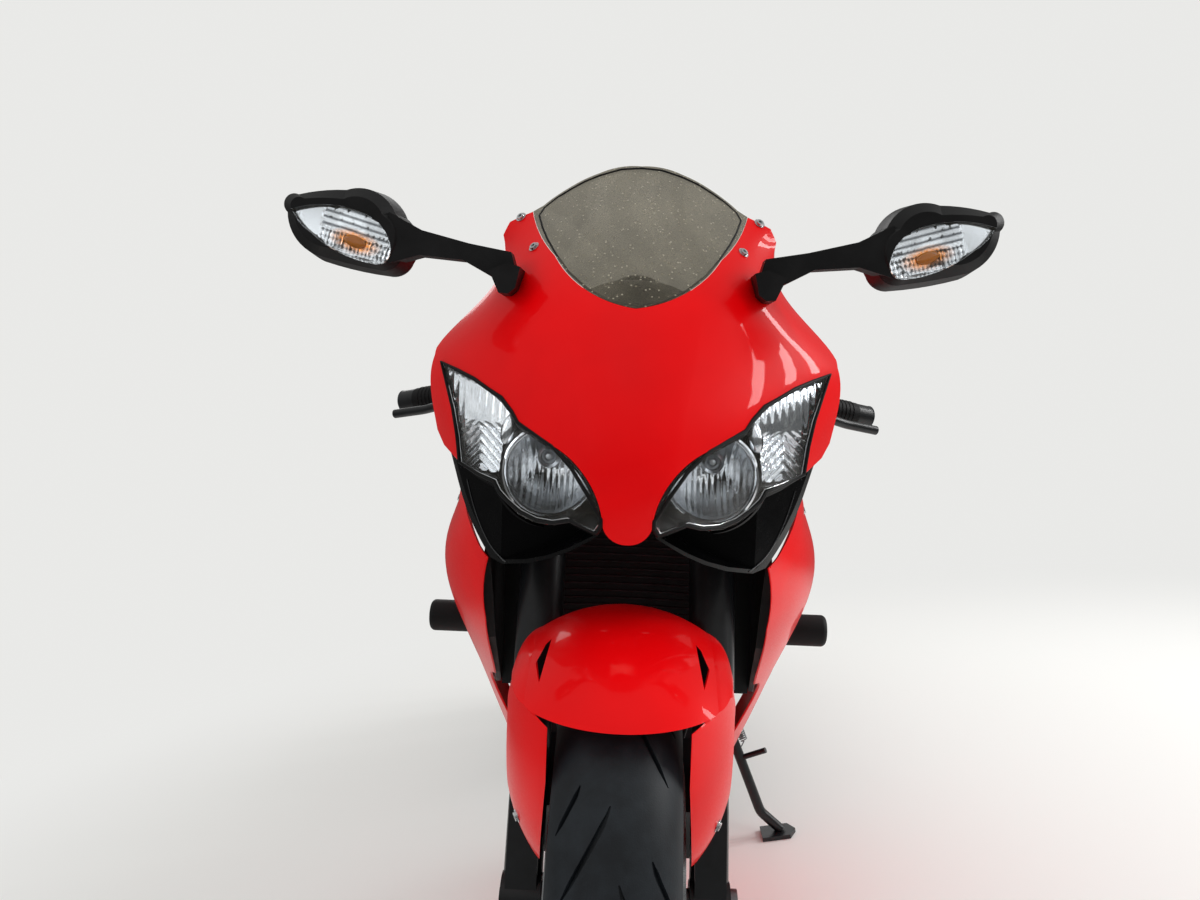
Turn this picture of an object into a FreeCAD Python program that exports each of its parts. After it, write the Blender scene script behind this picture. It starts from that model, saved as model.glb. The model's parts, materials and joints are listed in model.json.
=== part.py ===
import FreeCAD, Part

import math
import os
import Sketcher
from FreeCAD import Placement, Rotation, Vector

# A litre-class sport bike standing on its side stand.
# Working frame while modelling: X to the bike's left, Y to its rear, Z up, millimetres,
# with the front axle at Y = 0 and the upright tyres on Z = 0.
# At the end every piece is leaned over onto the stand and moved to the middle of its floor box.

FOLDER = "parts"
doc = FreeCAD.newDocument("sport_bike")
sheet = doc.addObject("Spreadsheet::Sheet", "sizes")

# Columns: alias, value in millimetres or degrees, meaning
SIZES = [
    ("wheelbase", 1410, "front axle to rear axle"),
    ("lean", 10.5, "degrees from upright, towards the side stand"),
    ("rake", 23.3, "degrees, steering axis from vertical"),
    ("fork_offset", 30, "fork legs ahead of the steering axis"),
    ("fork_spacing", 204, "between the leg centres"),
    ("gap", 0.3, "seat gap between fitted pieces"),
    ("running_gap", 0.05, "radial gap of a shaft in its bore"),
    ("panel_wall", 4, "body panel thickness"),
    ("front_tyre_r", 300, "front tyre outer radius"),
    ("front_tyre_w", 120, "front tyre width"),
    ("front_crown_drop", 38, "front tread centre to shoulder"),
    ("rear_tyre_r", 311, "rear tyre outer radius"),
    ("rear_tyre_w", 190, "rear tyre width"),
    ("rear_crown_drop", 60, "rear tread centre to shoulder"),
    ("tyre_wall", 9, "tyre carcass thickness"),
    ("rim_seat_r", 215, "bead seat radius"),
    ("rim_flange_h", 13, "rim flange above the bead seat"),
    ("front_rim_w", 89, "between the front rim flanges"),
    ("rear_rim_w", 152, "between the rear rim flanges"),
    ("rim_wall", 7, "rim barrel and flange thickness"),
    ("hub_r", 37, "front hub radius"),
    ("front_hub_half", 63.5, "front hub half width"),
    ("rear_hub_r", 52, "rear hub radius"),
    ("rear_hub_left", 106.5, "rear hub reach to the left"),
    ("rear_hub_right", 97.5, "rear hub reach to the right"),
    ("spoke_root_w", 74, "spoke width at the hub"),
    ("spoke_tip_w", 46, "spoke width at the barrel"),
    ("spoke_root_t", 46, "spoke thickness at the hub"),
    ("spoke_tip_t", 30, "spoke thickness at the barrel"),
    ("axle_r", 12, "front axle radius"),
    ("axle_bore_r", 8, "bore through the front axle"),
    ("axle_len", 252, "front axle length"),
    ("rear_axle_r", 14, "rear axle radius"),
    ("rear_axle_bore_r", 9, "bore through the rear axle"),
    ("rear_axle_len", 344, "rear axle length"),
    ("disc_room", 55, "front disc edge inside the bead seat"),
    ("front_disc_r", "=rim_seat_r - disc_room", "front brake disc radius"),
    ("front_disc_t", 5, "front brake disc thickness"),
    ("front_disc_x", 66, "front disc mid plane from the centre"),
    ("rear_disc_r", 110, "rear brake disc radius"),
    ("rear_disc_t", 5, "rear brake disc thickness"),
    ("rear_disc_x", 100, "rear disc mid plane to the right"),
    ("disc_band", 36, "width of the disc's swept band"),
    ("sprocket_r", 98, "rear sprocket tip radius"),
    ("sprocket_t", 7, "rear sprocket thickness"),
    ("chain_x", 110, "chain plane to the left"),
    ("chain_w", 19, "chain width over its plates"),
    ("chain_depth", 15, "chain plate height"),
    ("leg_r", 27, "fork outer tube radius"),
    ("slider_r", 21.5, "fork inner tube radius"),
    ("leg_low", 232, "outer tube bottom, along the leg from the axle"),
    ("leg_top", 664, "outer tube top, along the leg from the axle"),
    ("lower_yoke_s", 470, "lower yoke underside, along the leg"),
    ("lower_yoke_t", 36, "lower yoke thickness"),
    ("upper_yoke_s", 634, "upper yoke underside, along the leg"),
    ("upper_yoke_t", 20, "upper yoke thickness"),
    ("yoke_clamp_r", 38, "clamp boss radius round a leg"),
    ("stem_r", 15, "steering stem radius"),
    ("head_tube_r", 32, "steering head tube outer radius"),
    ("clip_s", 600, "clip-on clamp underside, along the leg"),
    ("clip_t", 30, "clip-on clamp height"),
    ("clip_r", 36, "clip-on clamp outer radius"),
    ("bar_r", 11, "handlebar tube radius"),
    ("bar_end_x", 322, "bar end from the centre"),
    ("bar_end_y", 352, "bar end behind the front axle"),
    ("bar_end_z", 826, "bar end above the ground"),
    ("grip_r", 16.5, "rubber grip radius"),
    ("grip_len", 122, "rubber grip length"),
    ("bar_weight_len", 24, "bar end weight length"),
    ("tube_r", 19, "exhaust header radius"),
    ("swingarm_pivot_y", 846, "swingarm pivot behind the front axle"),
    ("swingarm_pivot_z", 362, "swingarm pivot above the ground"),
    ("plate_in_x", 122, "pivot plate inner face"),
    ("plate_t", 20, "pivot plate thickness"),
    ("arm_in_x", 129, "swingarm leg inner face"),
    ("arm_t", 30, "swingarm leg thickness"),
    ("spool_hole_r", 4, "paddock stand thread in the swingarm"),
    ("spool_hole_d", 20, "depth of that thread"),
    ("stand_pivot_x", 160, "side stand pivot to the left"),
    ("stand_pivot_y", 762, "side stand pivot behind the front axle"),
    ("stand_pivot_z", 256, "side stand pivot above the ground"),
    ("stand_foot_x", 279, "side stand foot to the left"),
    ("stand_foot_y", 738, "side stand foot behind the front axle"),
    ("stand_tube_r", 9, "side stand leg radius"),
    ("slider_reach", 305, "frame slider end from the centre"),
    ("slider_puck_r", 24, "frame slider radius"),
    ("slider_y", 482, "frame slider behind the front axle"),
    ("slider_z", 492, "frame slider above the ground"),
    ("fender_gap", 22, "front mudguard above the tyre"),
    ("fender_half_w", 92, "front mudguard half width at its shoulder"),
    ("fender_wall", 3, "front mudguard thickness"),
    ("screen_wall", 3, "windscreen thickness"),
    ("peg_r", 11, "footrest radius"),
    ("peg_len", 88, "footrest length"),
]
S = {}
for row, (alias, value, note) in enumerate(SIZES, start=1):
    sheet.set(f"A{row}", note)
    sheet.set(f"B{row}", str(value))
    sheet.setAlias(f"B{row}", alias)
doc.recompute()
for alias, value, note in SIZES:
    S[alias] = float(sheet.get(alias))

RAKE = math.radians(S["rake"])
LEG_DIR = Vector(0, math.sin(RAKE), math.cos(RAKE))
FRONT_AXLE = Vector(0, 0, S["front_tyre_r"])
REAR_AXLE = Vector(0, S["wheelbase"], S["rear_tyre_r"])
X_AXIS = Vector(1, 0, 0)
Y_AXIS = Vector(0, 1, 0)
Z_AXIS = Vector(0, 0, 1)
FAR = 2500.0
pieces = {}


def keep(obj, name):
    """Names a sub-part; its label is its file's name."""
    obj.Label = name
    pieces[name] = obj
    return obj


def feature(name, solids):
    """A sub-part whose shape is worked out here, one solid or several that don't touch."""
    if not isinstance(solids, (list, tuple)):
        solids = [solids]
    flat = []
    for solid in solids:
        flat += solid.Solids
    shape = flat[0] if len(flat) == 1 else Part.makeCompound(flat)
    obj = doc.addObject("Part::Feature", name)
    obj.Shape = shape
    return keep(obj, name)


def on_plane(plane, level, a, b):
    """A point from two coordinates on a plane: xz at Y level, yz at X level, xy at Z level."""
    if plane == "xz":
        return Vector(a, level, b)
    if plane == "yz":
        return Vector(level, a, b)
    return Vector(a, b, level)


def outline(plane, level, steps):
    """A closed wire. A step of two numbers is a line to that point, four is an arc by way of the first."""
    first = on_plane(plane, level, *steps[0])
    here = first
    edges = []
    for step in list(steps[1:]) + [steps[0]]:
        if len(step) == 2:
            there = on_plane(plane, level, *step)
            if there.distanceToPoint(here) > 1e-6:
                edges.append(Part.LineSegment(here, there).toShape())
        else:
            mid = on_plane(plane, level, *step[:2])
            there = on_plane(plane, level, *step[2:])
            edges.append(Part.Arc(here, mid, there).toShape())
        here = there
    return Part.Wire(edges)


def prism(plane, low, high, steps):
    """An outline drawn on a plane and extruded from one level to another."""
    along = on_plane(plane, high - low, 0, 0)
    return Part.Face(outline(plane, low, steps)).extrude(along)


def both(shape):
    """A solid on the left and its mirror on the right."""
    return [shape, shape.mirror(Vector(), X_AXIS)]


def biggest(shape):
    """The largest solid of a cut that leaves slivers."""
    return max(shape.Solids, key=lambda solid: solid.Volume)


def mirrored(shape):
    return shape.mirror(Vector(), X_AXIS)


def cylinder(r, start, end):
    along = end - start
    return Part.makeCylinder(r, along.Length, start, along)


def ring(r_out, r_in, start, end):
    return cylinder(r_out, start, end).cut(cylinder(r_in, start, end))


def box(x0, x1, y0, y1, z0, z1):
    return Part.makeBox(x1 - x0, y1 - y0, z1 - z0, Vector(x0, y0, z0))


def leg_point(s, x=0.0, back=0.0):
    """A point along a fork leg's line, s from the axle, shifted back square to the leg."""
    square = Vector(0, math.cos(RAKE), -math.sin(RAKE))
    return FRONT_AXLE + LEG_DIR * s + square * back + Vector(x, 0, 0)


def tube(points, r):
    """A round tube on straight runs, with arcs at the inner points given as (point, radius)."""
    path = rounded_path(points)
    start = path.Edges[0]
    normal = start.tangentAt(start.FirstParameter)
    circle = Part.Wire(Part.makeCircle(r, path.Vertexes[0].Point, normal))
    return path.makePipeShell([circle], True, False)


def rounded_path(points):
    """A wire of runs and tangent arcs: the first and last entries are points, others (point, radius)."""
    spots = [p if isinstance(p, tuple) else (p, 0) for p in points]
    edges = []
    here = spots[0][0]
    for i in range(1, len(spots) - 1):
        corner, r = spots[i]
        before = (corner - spots[i - 1][0]).normalize()
        after = (spots[i + 1][0] - corner).normalize()
        turn = before.getAngle(after)
        cut = r * math.tan(turn / 2)
        a = corner - before * cut
        b = corner + after * cut
        bisector = (after - before).normalize()
        mid = corner + bisector * (r / math.cos(turn / 2) - r)
        edges.append(Part.LineSegment(here, a).toShape())
        edges.append(Part.Arc(a, mid, b).toShape())
        here = b
    edges.append(Part.LineSegment(here, spots[-1][0]).toShape())
    return Part.Wire(edges)


def nose_section(z, nose_y, nose_r, turn, side_x, side_y, rear_x, rear_y, wall):
    """A plan outline of the nose: a round nose, a side arc tangent to it, then a run to the rear."""
    a = math.radians(turn)
    nose_y, nose_r = nose_y + wall, nose_r - wall
    side_x, rear_x = side_x - wall, rear_x - wall
    rear_y = rear_y + (10 * wall if wall else 0)
    shoulder = Vector(nose_r * math.sin(a), nose_y + nose_r * (1 - math.cos(a)), z)
    side = Vector(side_x, side_y, z)
    chord = side - shoulder
    swing = math.atan2(chord.y, chord.x) - a
    square = Vector(chord.y, -chord.x, 0).normalize()
    mid = (shoulder + side) * 0.5 + square * (chord.Length / 2 * math.tan(swing / 2))
    nose, rear = Vector(0, nose_y, z), Vector(rear_x, rear_y, z)
    flip = lambda p: Vector(-p.x, p.y, p.z)
    return Part.Wire([
        Part.Arc(flip(shoulder), nose, shoulder).toShape(),
        Part.Arc(shoulder, mid, side).toShape(),
        Part.LineSegment(side, rear).toShape(),
        Part.LineSegment(rear, flip(rear)).toShape(),
        Part.LineSegment(flip(rear), flip(side)).toShape(),
        Part.Arc(flip(side), flip(mid), flip(shoulder)).toShape(),
    ])


# Columns: height, nose tip, nose radius, turn of the nose arc, side x, side y, rear x, rear y
NOSE_LEVELS = [
    (640, -66, 68, 42, 234, 222, 229, 320),
    (760, -98, 75, 40, 242, 188, 238, 320),
    (850, -78, 95, 36, 249, 160, 240, 320),
    (897, -47, 118, 33, 241, 155, 236, 320),
    (935, -21, 138, 30, 208, 150, 222, 320),
    (1035, 75, 165, 28, 163, 165, 180, 320),
    (1140, 197, 150, 25, 105, 240, 128, 320),
]


def nose_mould(wall):
    return Part.makeLoft([nose_section(*level, wall) for level in NOSE_LEVELS], True, False)


# Columns: height, front x, front y, middle x, middle y, rear x, rear y
FLANK_LEVELS = [
    (98, 44, 372, 76, 540, 64, 790),
    (142, 70, 350, 105, 520, 92, 800),
    (250, 96, 345, 146, 470, 132, 800),
    (366, 134, 320, 186, 430, 166, 800),
    (455, 154, 245, 212, 380, 188, 780),
    (541, 166, 160, 238, 330, 200, 740),
    (650, 165, 95, 243, 280, 205, 700),
    (790, 170, 60, 246, 230, 196, 640),
]


def flank_section(z, fx, fy, mx, my, rx, ry, wall):
    front, mid, rear = (fx - wall, fy - wall), (mx - wall, my), (rx - wall, ry + wall)
    steps = [front, (*mid, *rear), (-rear[0], rear[1]), (-mid[0], mid[1], -front[0], front[1])]
    return outline("xy", z, steps)


def flank_mould(wall):
    rows = [(row[0] + (wall if i == 0 else 0), *row[1:]) for i, row in enumerate(FLANK_LEVELS)]
    return Part.makeLoft([flank_section(*row, wall) for row in rows], True, False)


# Front view outlines, X and Z of the left half
LAMP = [
    (228, 883), (178, 865), (140, 846), (129, 835, 118, 821), (77, 800), (44, 775, 25, 732),
    (24, 723, 29, 717), (57, 727), (100, 717, 139, 741), (148, 753), (170, 758), (199, 767),
    (209, 828, 228, 883),
]
INTAKE = [
    (28, 714.5), (57, 724.5), (101, 714, 141, 739.5), (149, 751), (171, 756), (203, 768), (226, 782),
    (245, 801), (243, 780, 236, 764), (221, 733), (208, 714), (197, 699), (172, 674), (158, 661),
    (140, 658), (106, 668), (80, 680), (58, 693),
]
SCREEN = [(0, 942), (52, 961, 92, 1003), (114, 1032, 128, 1065)]
SCREEN_TOP = [(116, 1073), (89, 1097, 50, 1118), (25, 1126, 0, 1127)]


def shrunk(steps, middle, by):
    """The same outline drawn in towards a middle point, by about a fixed distance at every point."""
    out = []
    for step in steps:
        moved = []
        for a, b in zip(step[0::2], step[1::2]):
            far = math.hypot(a - middle[0], b - middle[1])
            k = (far - by) / far
            moved += [middle[0] + (a - middle[0]) * k, middle[1] + (b - middle[1]) * k]
        out.append(tuple(moved))
    return out


def upper_cowl():
    """The nose panel: shell of the nose mould inside its front outline, clear of lamps and screen."""
    shell = nose_mould(0).cut(nose_mould(S["panel_wall"]))
    half = SCREEN + [
        (156, 1053), (182, 1000), (300, 960), (300, 806), (246, 803), (227, 784), (203, 770), (199, 767),
        (209, 828, 228, 883), (178, 865), (140, 846), (129, 835, 118, 821), (77, 800),
        (44, 775, 25, 732), (16, 712, 0, 707),
    ]
    front = prism("xz", -200, 330, half)
    front = front.fuse(mirrored(front)).removeSplitter()
    side = prism("yz", -260, 260, [
        (-130, 690), (118, 690), (128, 770), (158, 800), (150, 890), (172, 935), (215, 1000), (250, 1075),
        (-130, 1075),
    ])
    return biggest(shell.common(front).common(side))


def windscreen():
    shell = nose_mould(0).cut(nose_mould(S["screen_wall"]))
    g = S["gap"]
    half = [(0, 942 + 2 * g), (52 - g, 961 + g, 92 - g, 1003 + g), (114 - g, 1032 + g, 128 - g, 1065 + g)]
    front = prism("xz", -100, 330, half + SCREEN_TOP)
    front = front.fuse(mirrored(front)).removeSplitter()
    return shell.common(front).common(box(-200, 200, -200, 262, 900, 1140))


def lamp_lenses():
    shell = nose_mould(0.5).cut(nose_mould(0.5 + S["screen_wall"]))
    edge = outline("xz", -150, LAMP).makeOffset2D(-2 * S["gap"])
    return both(shell.common(Part.Face(edge).extrude(Y_AXIS * 450)))


def lamp_housings():
    """A bowl behind each lens: a pocket that follows the lamp's outline with a stepped back wall."""
    inner = nose_mould(0.5 + S["screen_wall"] + S["gap"])
    outer = prism("xz", -150, 200, shrunk(LAMP, (120, 780), 2.5)).common(deep(72, 0))
    hollow = prism("xz", -150, 200, shrunk(LAMP, (120, 780), 6)).common(deep(72, 6))
    return both(biggest(outer.cut(hollow).common(inner)))


def deep(back, wall):
    """The room from the nose back to a wall that steps rearwards at the sides, past the fork."""
    return prism("xy", 600, 1000, [
        (5, -150), (5, back - wall), (142, back - wall), (214, 128 - wall), (260, 176 - wall), (260, -150),
    ])


def intake_ducts(cowls):
    """Black scoops under the lamps: open mouths with a lip, walls and a closed back."""
    outer = prism("xz", -150, 220, INTAKE).common(deep(62, 0)).common(nose_mould(3))
    mouth = prism("xz", -150, 220, shrunk(INTAKE, (140, 712), 5)).common(deep(62, 6))
    scoop = outer.cut(mouth)
    for cowl in cowls:
        scoop = scoop.cut(cowl)
    return both(biggest(scoop))


def side_cowls():
    """Flank panels with a raised flange in front, and a long vent behind the front wheel."""
    side = prism("yz", 20, 270, [
        (60, 790), (150, 790), (200, 772), (260, 748), (330, 712, 470, 650), (560, 560),
        (600, 480, 600, 400), (640, 300), (700, 205), (690, 160), (340, 150), (352, 300),
        (345, 420, 262, 470), (170, 540, 112, 606), (93, 640), (60, 700),
    ])
    beside_intake = prism("xz", 0, 900, [
        (300, 100), (300, 790), (242, 790), (238, 766), (229, 735), (221, 720), (210, 706), (199, 693),
        (174, 667), (160, 657), (150, 640), (20, 600), (20, 100),
    ])
    flange = prism("xz", 0, 320, [
        (300, 790), (242, 790), (238, 766), (229, 735), (221, 720), (210, 706), (199, 693), (174, 667),
        (160, 657), (171, 659), (199, 665), (220, 684), (238, 712), (252, 752), (300, 770),
    ])
    vent = prism("yz", 20, 270, [
        (330, 640), (420, 600), (452, 570, 440, 530), (395, 430), (372, 455, 350, 520),
    ])
    shell = flank_mould(0).cut(flank_mould(S["panel_wall"]))
    raised = flank_mould(-2.5).cut(flank_mould(S["panel_wall"])).common(flange)
    panel = shell.fuse(raised).common(side).common(beside_intake).cut(vent)
    return both(biggest(panel.removeSplitter()))


def belly_pan():
    """The channel under the engine that closes the flanks."""
    shell = flank_mould(0).cut(flank_mould(S["panel_wall"]))
    side = prism("yz", -260, 260, [
        (340, 152), (352, 118), (372, 96), (800, 96), (800, 120), (690, 159.7), (340, 149.7),
    ])
    return shell.common(side)


def engine():
    """Crankcase and forward leaning cylinders as one casting, with room for the drive sprocket."""
    case = prism("yz", -112, 112, [
        (440, 250), (470, 200), (700, 190), (790, 240), (820, 300), (800, 420), (720, 500),
        (600, 520), (450, 505), (425, 420),
    ])
    block = prism("yz", -116, 116, [(447, 470), (610, 500), (575, 690), (410, 655)])
    head = prism("yz", -114, 114, [(410, 645), (578, 682), (560, 745), (470, 752), (398, 700)])
    filter_can = cylinder(36, Vector(0, 470, 311), Vector(0, 398, 288))
    room = cylinder(57, SPROCKET_AT + X_AXIS * 96, SPROCKET_AT + X_AXIS * 200)
    room = room.fuse(box(96, 200, 770, 900, 288, 402))
    body = case
    for part in (block, head, filter_can):
        body = body.fuse(part)
    return body.removeSplitter().cut(room)


def engine_covers():
    """Clutch cover on the right, alternator cover and sprocket cover on the left."""
    clutch = cylinder(92, Vector(-112, 680, 345), Vector(-144, 680, 345))
    clutch = clutch.makeChamfer(12, [e for e in clutch.Edges if e.BoundBox.XMax < -143])
    dome = cylinder(62, Vector(-142, 680, 345), Vector(-150, 680, 345))
    rotor = cylinder(78, Vector(112, 560, 360), Vector(150, 560, 360))
    rotor = rotor.makeChamfer(12, [e for e in rotor.Edges if e.BoundBox.XMin > 149])
    cover = prism("yz", 112, 134, [
        (650, 330), (700, 286), (786, 290), (786, 400), (730, 412, 668, 420),
    ])
    cover = cover.cut(cylinder(56, SPROCKET_AT, SPROCKET_AT + X_AXIS * 122.5))
    cover = cover.cut(box(90, 122.5, 770, 800, 280, 410)).cut(rotor)
    return [clutch.fuse(dome), rotor, cover]


def airbox():
    """Throttle bodies and airbox, a plain block between the cylinder head and the tank."""
    return prism("yz", -88, 88, [(588, 640), (700, 560), (770, 600), (776, 722), (640, 760), (590, 750)])


def frame_side():
    return prism("yz", -170, 170, [
        (200, 742), (262, 822), (292, 832), (345, 836), (450, 780),
        (620, 684, 770, 560), (862, 440), (884, 360), (876, 262), (812, 252), (800, 330),
        (790, 430, 700, 512), (560, 610, 430, 672), (330, 706),
    ])


def frame_spars():
    """Twin spars from the steering head to the pivot plates, cut by a side and a plan outline."""
    i = S["plate_in_x"]
    o = i + S["plate_t"]
    half = [
        (0, 226), (38, 230), (54, 294), (62, 322), (118, 352), (152, 440, 158, 520), (158, 640),
        (o, 790), (o, 890), (i, 890), (i, 790), (126, 640), (126, 520), (118, 430, 88, 376), (48, 346),
        (0, 340),
    ]
    plan = prism("xy", 200, 900, half)
    plan = plan.fuse(mirrored(plan)).removeSplitter()
    spars = frame_side().common(plan)
    low = leg_point(S["lower_yoke_s"] + S["lower_yoke_t"] + 3, 0, S["fork_offset"])
    high = leg_point(S["upper_yoke_s"] - 3, 0, S["fork_offset"])
    head_tube = cylinder(S["head_tube_r"], low, high)
    bore = cylinder(S["stem_r"] + S["running_gap"], low - LEG_DIR * 60, high + LEG_DIR * 60)
    room_low = cylinder(95, low - LEG_DIR * 150, low - LEG_DIR * 0.01)
    room_high = cylinder(95, high + LEG_DIR * 0.01, high + LEG_DIR * 150)
    pivot = Vector(0, S["swingarm_pivot_y"], S["swingarm_pivot_z"])
    hole = cylinder(12.3, pivot - X_AXIS * 200, pivot + X_AXIS * 200)
    cross = cylinder(17, Vector(-i - 6, *SHOCK_TOP), Vector(i + 6, *SHOCK_TOP))
    lug = cylinder(20, STAND_PIVOT - STAND_AXIS * 6, STAND_PIVOT + STAND_AXIS * 6)
    slab = stand_slab([(-14, -16), (30, -12), (52, 30), (90, 58), (40, 58), (-16, 12)])
    frame = spars.fuse(head_tube).cut(bore).cut(room_low).cut(room_high)
    frame = frame.fuse(cross).fuse(slab).fuse(lug).removeSplitter()
    stand_bore = cylinder(8 + S["running_gap"], STAND_PIVOT - STAND_AXIS * 20, STAND_PIVOT + STAND_AXIS * 20)
    return frame.cut(hole).cut(stand_bore)


def stand_slab(spots):
    """A plate square to the side stand's hinge: spots are rearward and upward of the pivot."""
    up = STAND_AXIS.cross(Y_AXIS)
    at = [STAND_PIVOT + Y_AXIS * a + up * b - STAND_AXIS * 6 for a, b in spots]
    return Part.Face(Part.makePolygon(at + at[:1])).extrude(STAND_AXIS * 12)


# Columns: height, front x, front y
INNER_LEVELS = [
    (446, 184, 308), (470, 181, 270), (541, 176, 180), (606, 174, 134), (650, 174, 106), (704, 176, 94),
]


def inner_panels():
    """Black panels from the flanks' front edges back to the radiator's side tanks."""
    back = RADIATOR_SIDE + S["gap"]
    rows = []
    for z, x, y in INNER_LEVELS:
        rows.append(outline("xy", z, [(x, y - 6), (x, y - 3), (x - 11, y + 1), (back + 2.5, 332),
                                      (back + 2.5, 350), (back, 350), (back, 332), (x - 13.5, y)]))
    panel = Part.makeLoft(rows, True, True)
    return both(biggest(panel.common(flank_mould(S["panel_wall"] + S["gap"]))))


RADIATOR_SIDE = 172


def radiator():
    """Curved cooling core with side tanks, in front of the cylinders."""
    core = prism("xy", 440, 690, [(-150, 330), (0, 350, 150, 330), (150, 362), (0, 380, -150, 362)])
    body = core
    for part in both(box(149, RADIATOR_SIDE, 328, 366, 436, 694)):
        body = body.fuse(part)
    return body.removeSplitter()


def exhaust():
    """Four headers that join under the engine, a flat silencer there and its outlet on the right."""
    r = S["tube_r"]
    can = prism("xy", 145, 182, [(-66, 548), (66, 548), (88, 600), (84, 770), (-84, 770), (-88, 600)])
    body = can
    for x, low_x in ((-90, -48), (-30, -16), (30, 16), (90, 48)):
        body = body.fuse(tube([
            Vector(x, 424, 640), (Vector(x, 405, 560), 60), (Vector(x * 0.8, 405, 330), 90),
            (Vector(low_x, 424, 166), 48), Vector(low_x, 560, 166),
        ], r))
    link = tube([Vector(-50, 750, 164), (Vector(-100, 850, 176), 40), Vector(-150, 905, 216)], 17)
    mouth = cylinder(36, Vector(-136, 885, 200), Vector(-180, 962, 258))
    along = Vector(-44, 77, 58).normalize()
    inside = cylinder(30, Vector(-136, 885, 200) + along * 40, Vector(-180, 962, 258) + along * 5)
    body = body.fuse(link).fuse(mouth).cut(inside)
    return body.removeSplitter()


def tank_section(y, low_z, low_w, mid_z, mid_w, top_z, top_w, crown_z):
    return outline("xz", y, [
        (low_w, low_z), (mid_w, mid_z, top_w, top_z), (0, crown_z, -top_w, top_z),
        (-mid_w, mid_z, -low_w, low_z),
    ])


# Columns: station, low z and half width, widest z and half width, shoulder z and half width, crown z
TANK_LEVELS = [
    (372, 812, 60, 866, 92, 922, 66, 936),
    (450, 780, 96, 862, 150, 946, 104, 974),
    (560, 742, 112, 850, 166, 952, 110, 984),
    (670, 726, 100, 818, 138, 908, 92, 938),
    (776, 724, 70, 774, 92, 832, 66, 850),
]

SEAT_LEVELS = [
    (782, 790, 62, 800, 70, 814, 58, 820),
    (860, 785, 108, 796, 124, 814, 100, 819),
    (960, 800, 122, 812, 140, 832, 112, 838),
    (1036, 832, 96, 848, 112, 868, 88, 874),
]

PILLION_LEVELS = [
    (1052, 880, 78, 890, 88, 904, 72, 912),
    (1160, 896, 84, 908, 96, 924, 78, 932),
    (1272, 916, 58, 924, 66, 936, 54, 942),
]


def body_loft(levels):
    return Part.makeLoft([tank_section(*level) for level in levels], True, False)


TAIL_LEVELS = [
    (800, 690, 78, 740, 92, 786, 74, 789),
    (900, 705, 112, 755, 136, 785, 120, 786),
    (1040, 760, 120, 812, 140, 872, 100, 880),
    (1200, 820, 100, 868, 116, 905, 86, 912),
    (1380, 862, 72, 898, 86, 930, 62, 946),
    (1500, 896, 40, 916, 50, 936, 36, 946),
]


def tail_cowl():
    outer = body_loft(TAIL_LEVELS)
    seats = body_loft(grown(SEAT_LEVELS)).fuse(body_loft(grown(PILLION_LEVELS)))
    lamp = box(-100, 100, 1476, 1600, 880, 932)
    return outer.cut(seats).cut(lamp)


def grown(levels):
    g = S["gap"]
    return [(lv[0], lv[1] - g, lv[2] + g, lv[3], lv[4] + g, lv[5] + g, lv[6] + g, lv[7] + g)
            for lv in levels]


HEAD = [
    (258, 993), (252, 1018, 266, 1044), (285, 1067, 325, 1072), (354, 1070, 382, 1064),
    (398, 1057, 395, 1043), (385, 1012, 361, 993), (325, 984, 285, 978), (268, 981, 258, 993),
]
MIRROR_LENS = [
    (272, 1005), (277, 990, 292, 987), (330, 998, 360, 1018), (374, 1030, 384, 1044),
    (345, 1050, 305, 1043), (284, 1030, 272, 1005),
]


def mirrors():
    """Housing on a stalk and a foot, with a recess behind for the glass and one ahead for the lamp."""
    middle = (325, 1028)
    head = Part.makeLoft([
        outline("xz", 50, shrunk(HEAD, middle, 16)), outline("xz", 62, shrunk(HEAD, middle, 4)),
        outline("xz", 104, HEAD),
    ], True, True)
    stalk = prism("xz", 52, 80, [
        (132, 980), (139, 1004), (185, 1012), (238, 1025), (275, 1044), (275, 988), (240, 998), (192, 994),
        (162, 978),
    ])
    foot = prism("xz", 30, 110, [(126, 986), (131, 963), (139, 957), (149, 958), (160, 982), (140, 990)])
    whole = head.fuse(stalk).fuse(foot).cut(nose_mould(0)).removeSplitter()
    whole = biggest(whole)
    recess = prism("xz", 97, 120, shrunk(HEAD, middle, 5))
    front = prism("xz", 30, 61, MIRROR_LENS)
    small = prism("xz", 30, 60.7, shrunk(MIRROR_LENS, (322, 1022), S["gap"]))
    glass = prism("xz", 97.3, 100.3, shrunk(HEAD, middle, 5.5))
    return both(whole.cut(recess).cut(front)), both(head.common(small)), both(glass)


def fairing_stay():
    """Tube frame from the steering head to the nose panel, mirrors and dash."""
    at = leg_point(560, 0, S["fork_offset"])
    beam = box(-22, 22, 112, at.y, 792, 826)
    arms = [tube([Vector(x * 16, 128, 808), (Vector(x * 46, 92, 850), 30), Vector(x * 170, 56, 975)], 9)
            for x in (-1, 1)]
    bar = tube([Vector(-52, 122, 800), Vector(52, 122, 800)], 9)
    posts = [cylinder(7, Vector(x * 16, 124, 812), Vector(x * 16, 130, 900)) for x in (-1, 1)]
    body = beam
    for part in arms + posts + [bar]:
        body = body.fuse(part)
    low = leg_point(400, 0, S["fork_offset"])
    high = leg_point(700, 0, S["fork_offset"])
    body = body.common(nose_mould(S["panel_wall"])).cut(cylinder(S["head_tube_r"], low, high))
    return body.removeSplitter()


def dash():
    """Instrument pod behind the screen, with a round hood."""
    side = prism("yz", -92, 92, [(90, 902), (96, 968, 122, 984), (172, 934), (168, 888), (110, 880)])
    plan = prism("xy", 860, 990, [(-92, 176), (-84, 110), (0, 84, 84, 110), (92, 176)])
    hood = prism("xz", 60, 200, [(-92, 860), (92, 860), (92, 930), (0, 984, -92, 930)])
    return side.common(plan).common(hood)


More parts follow.
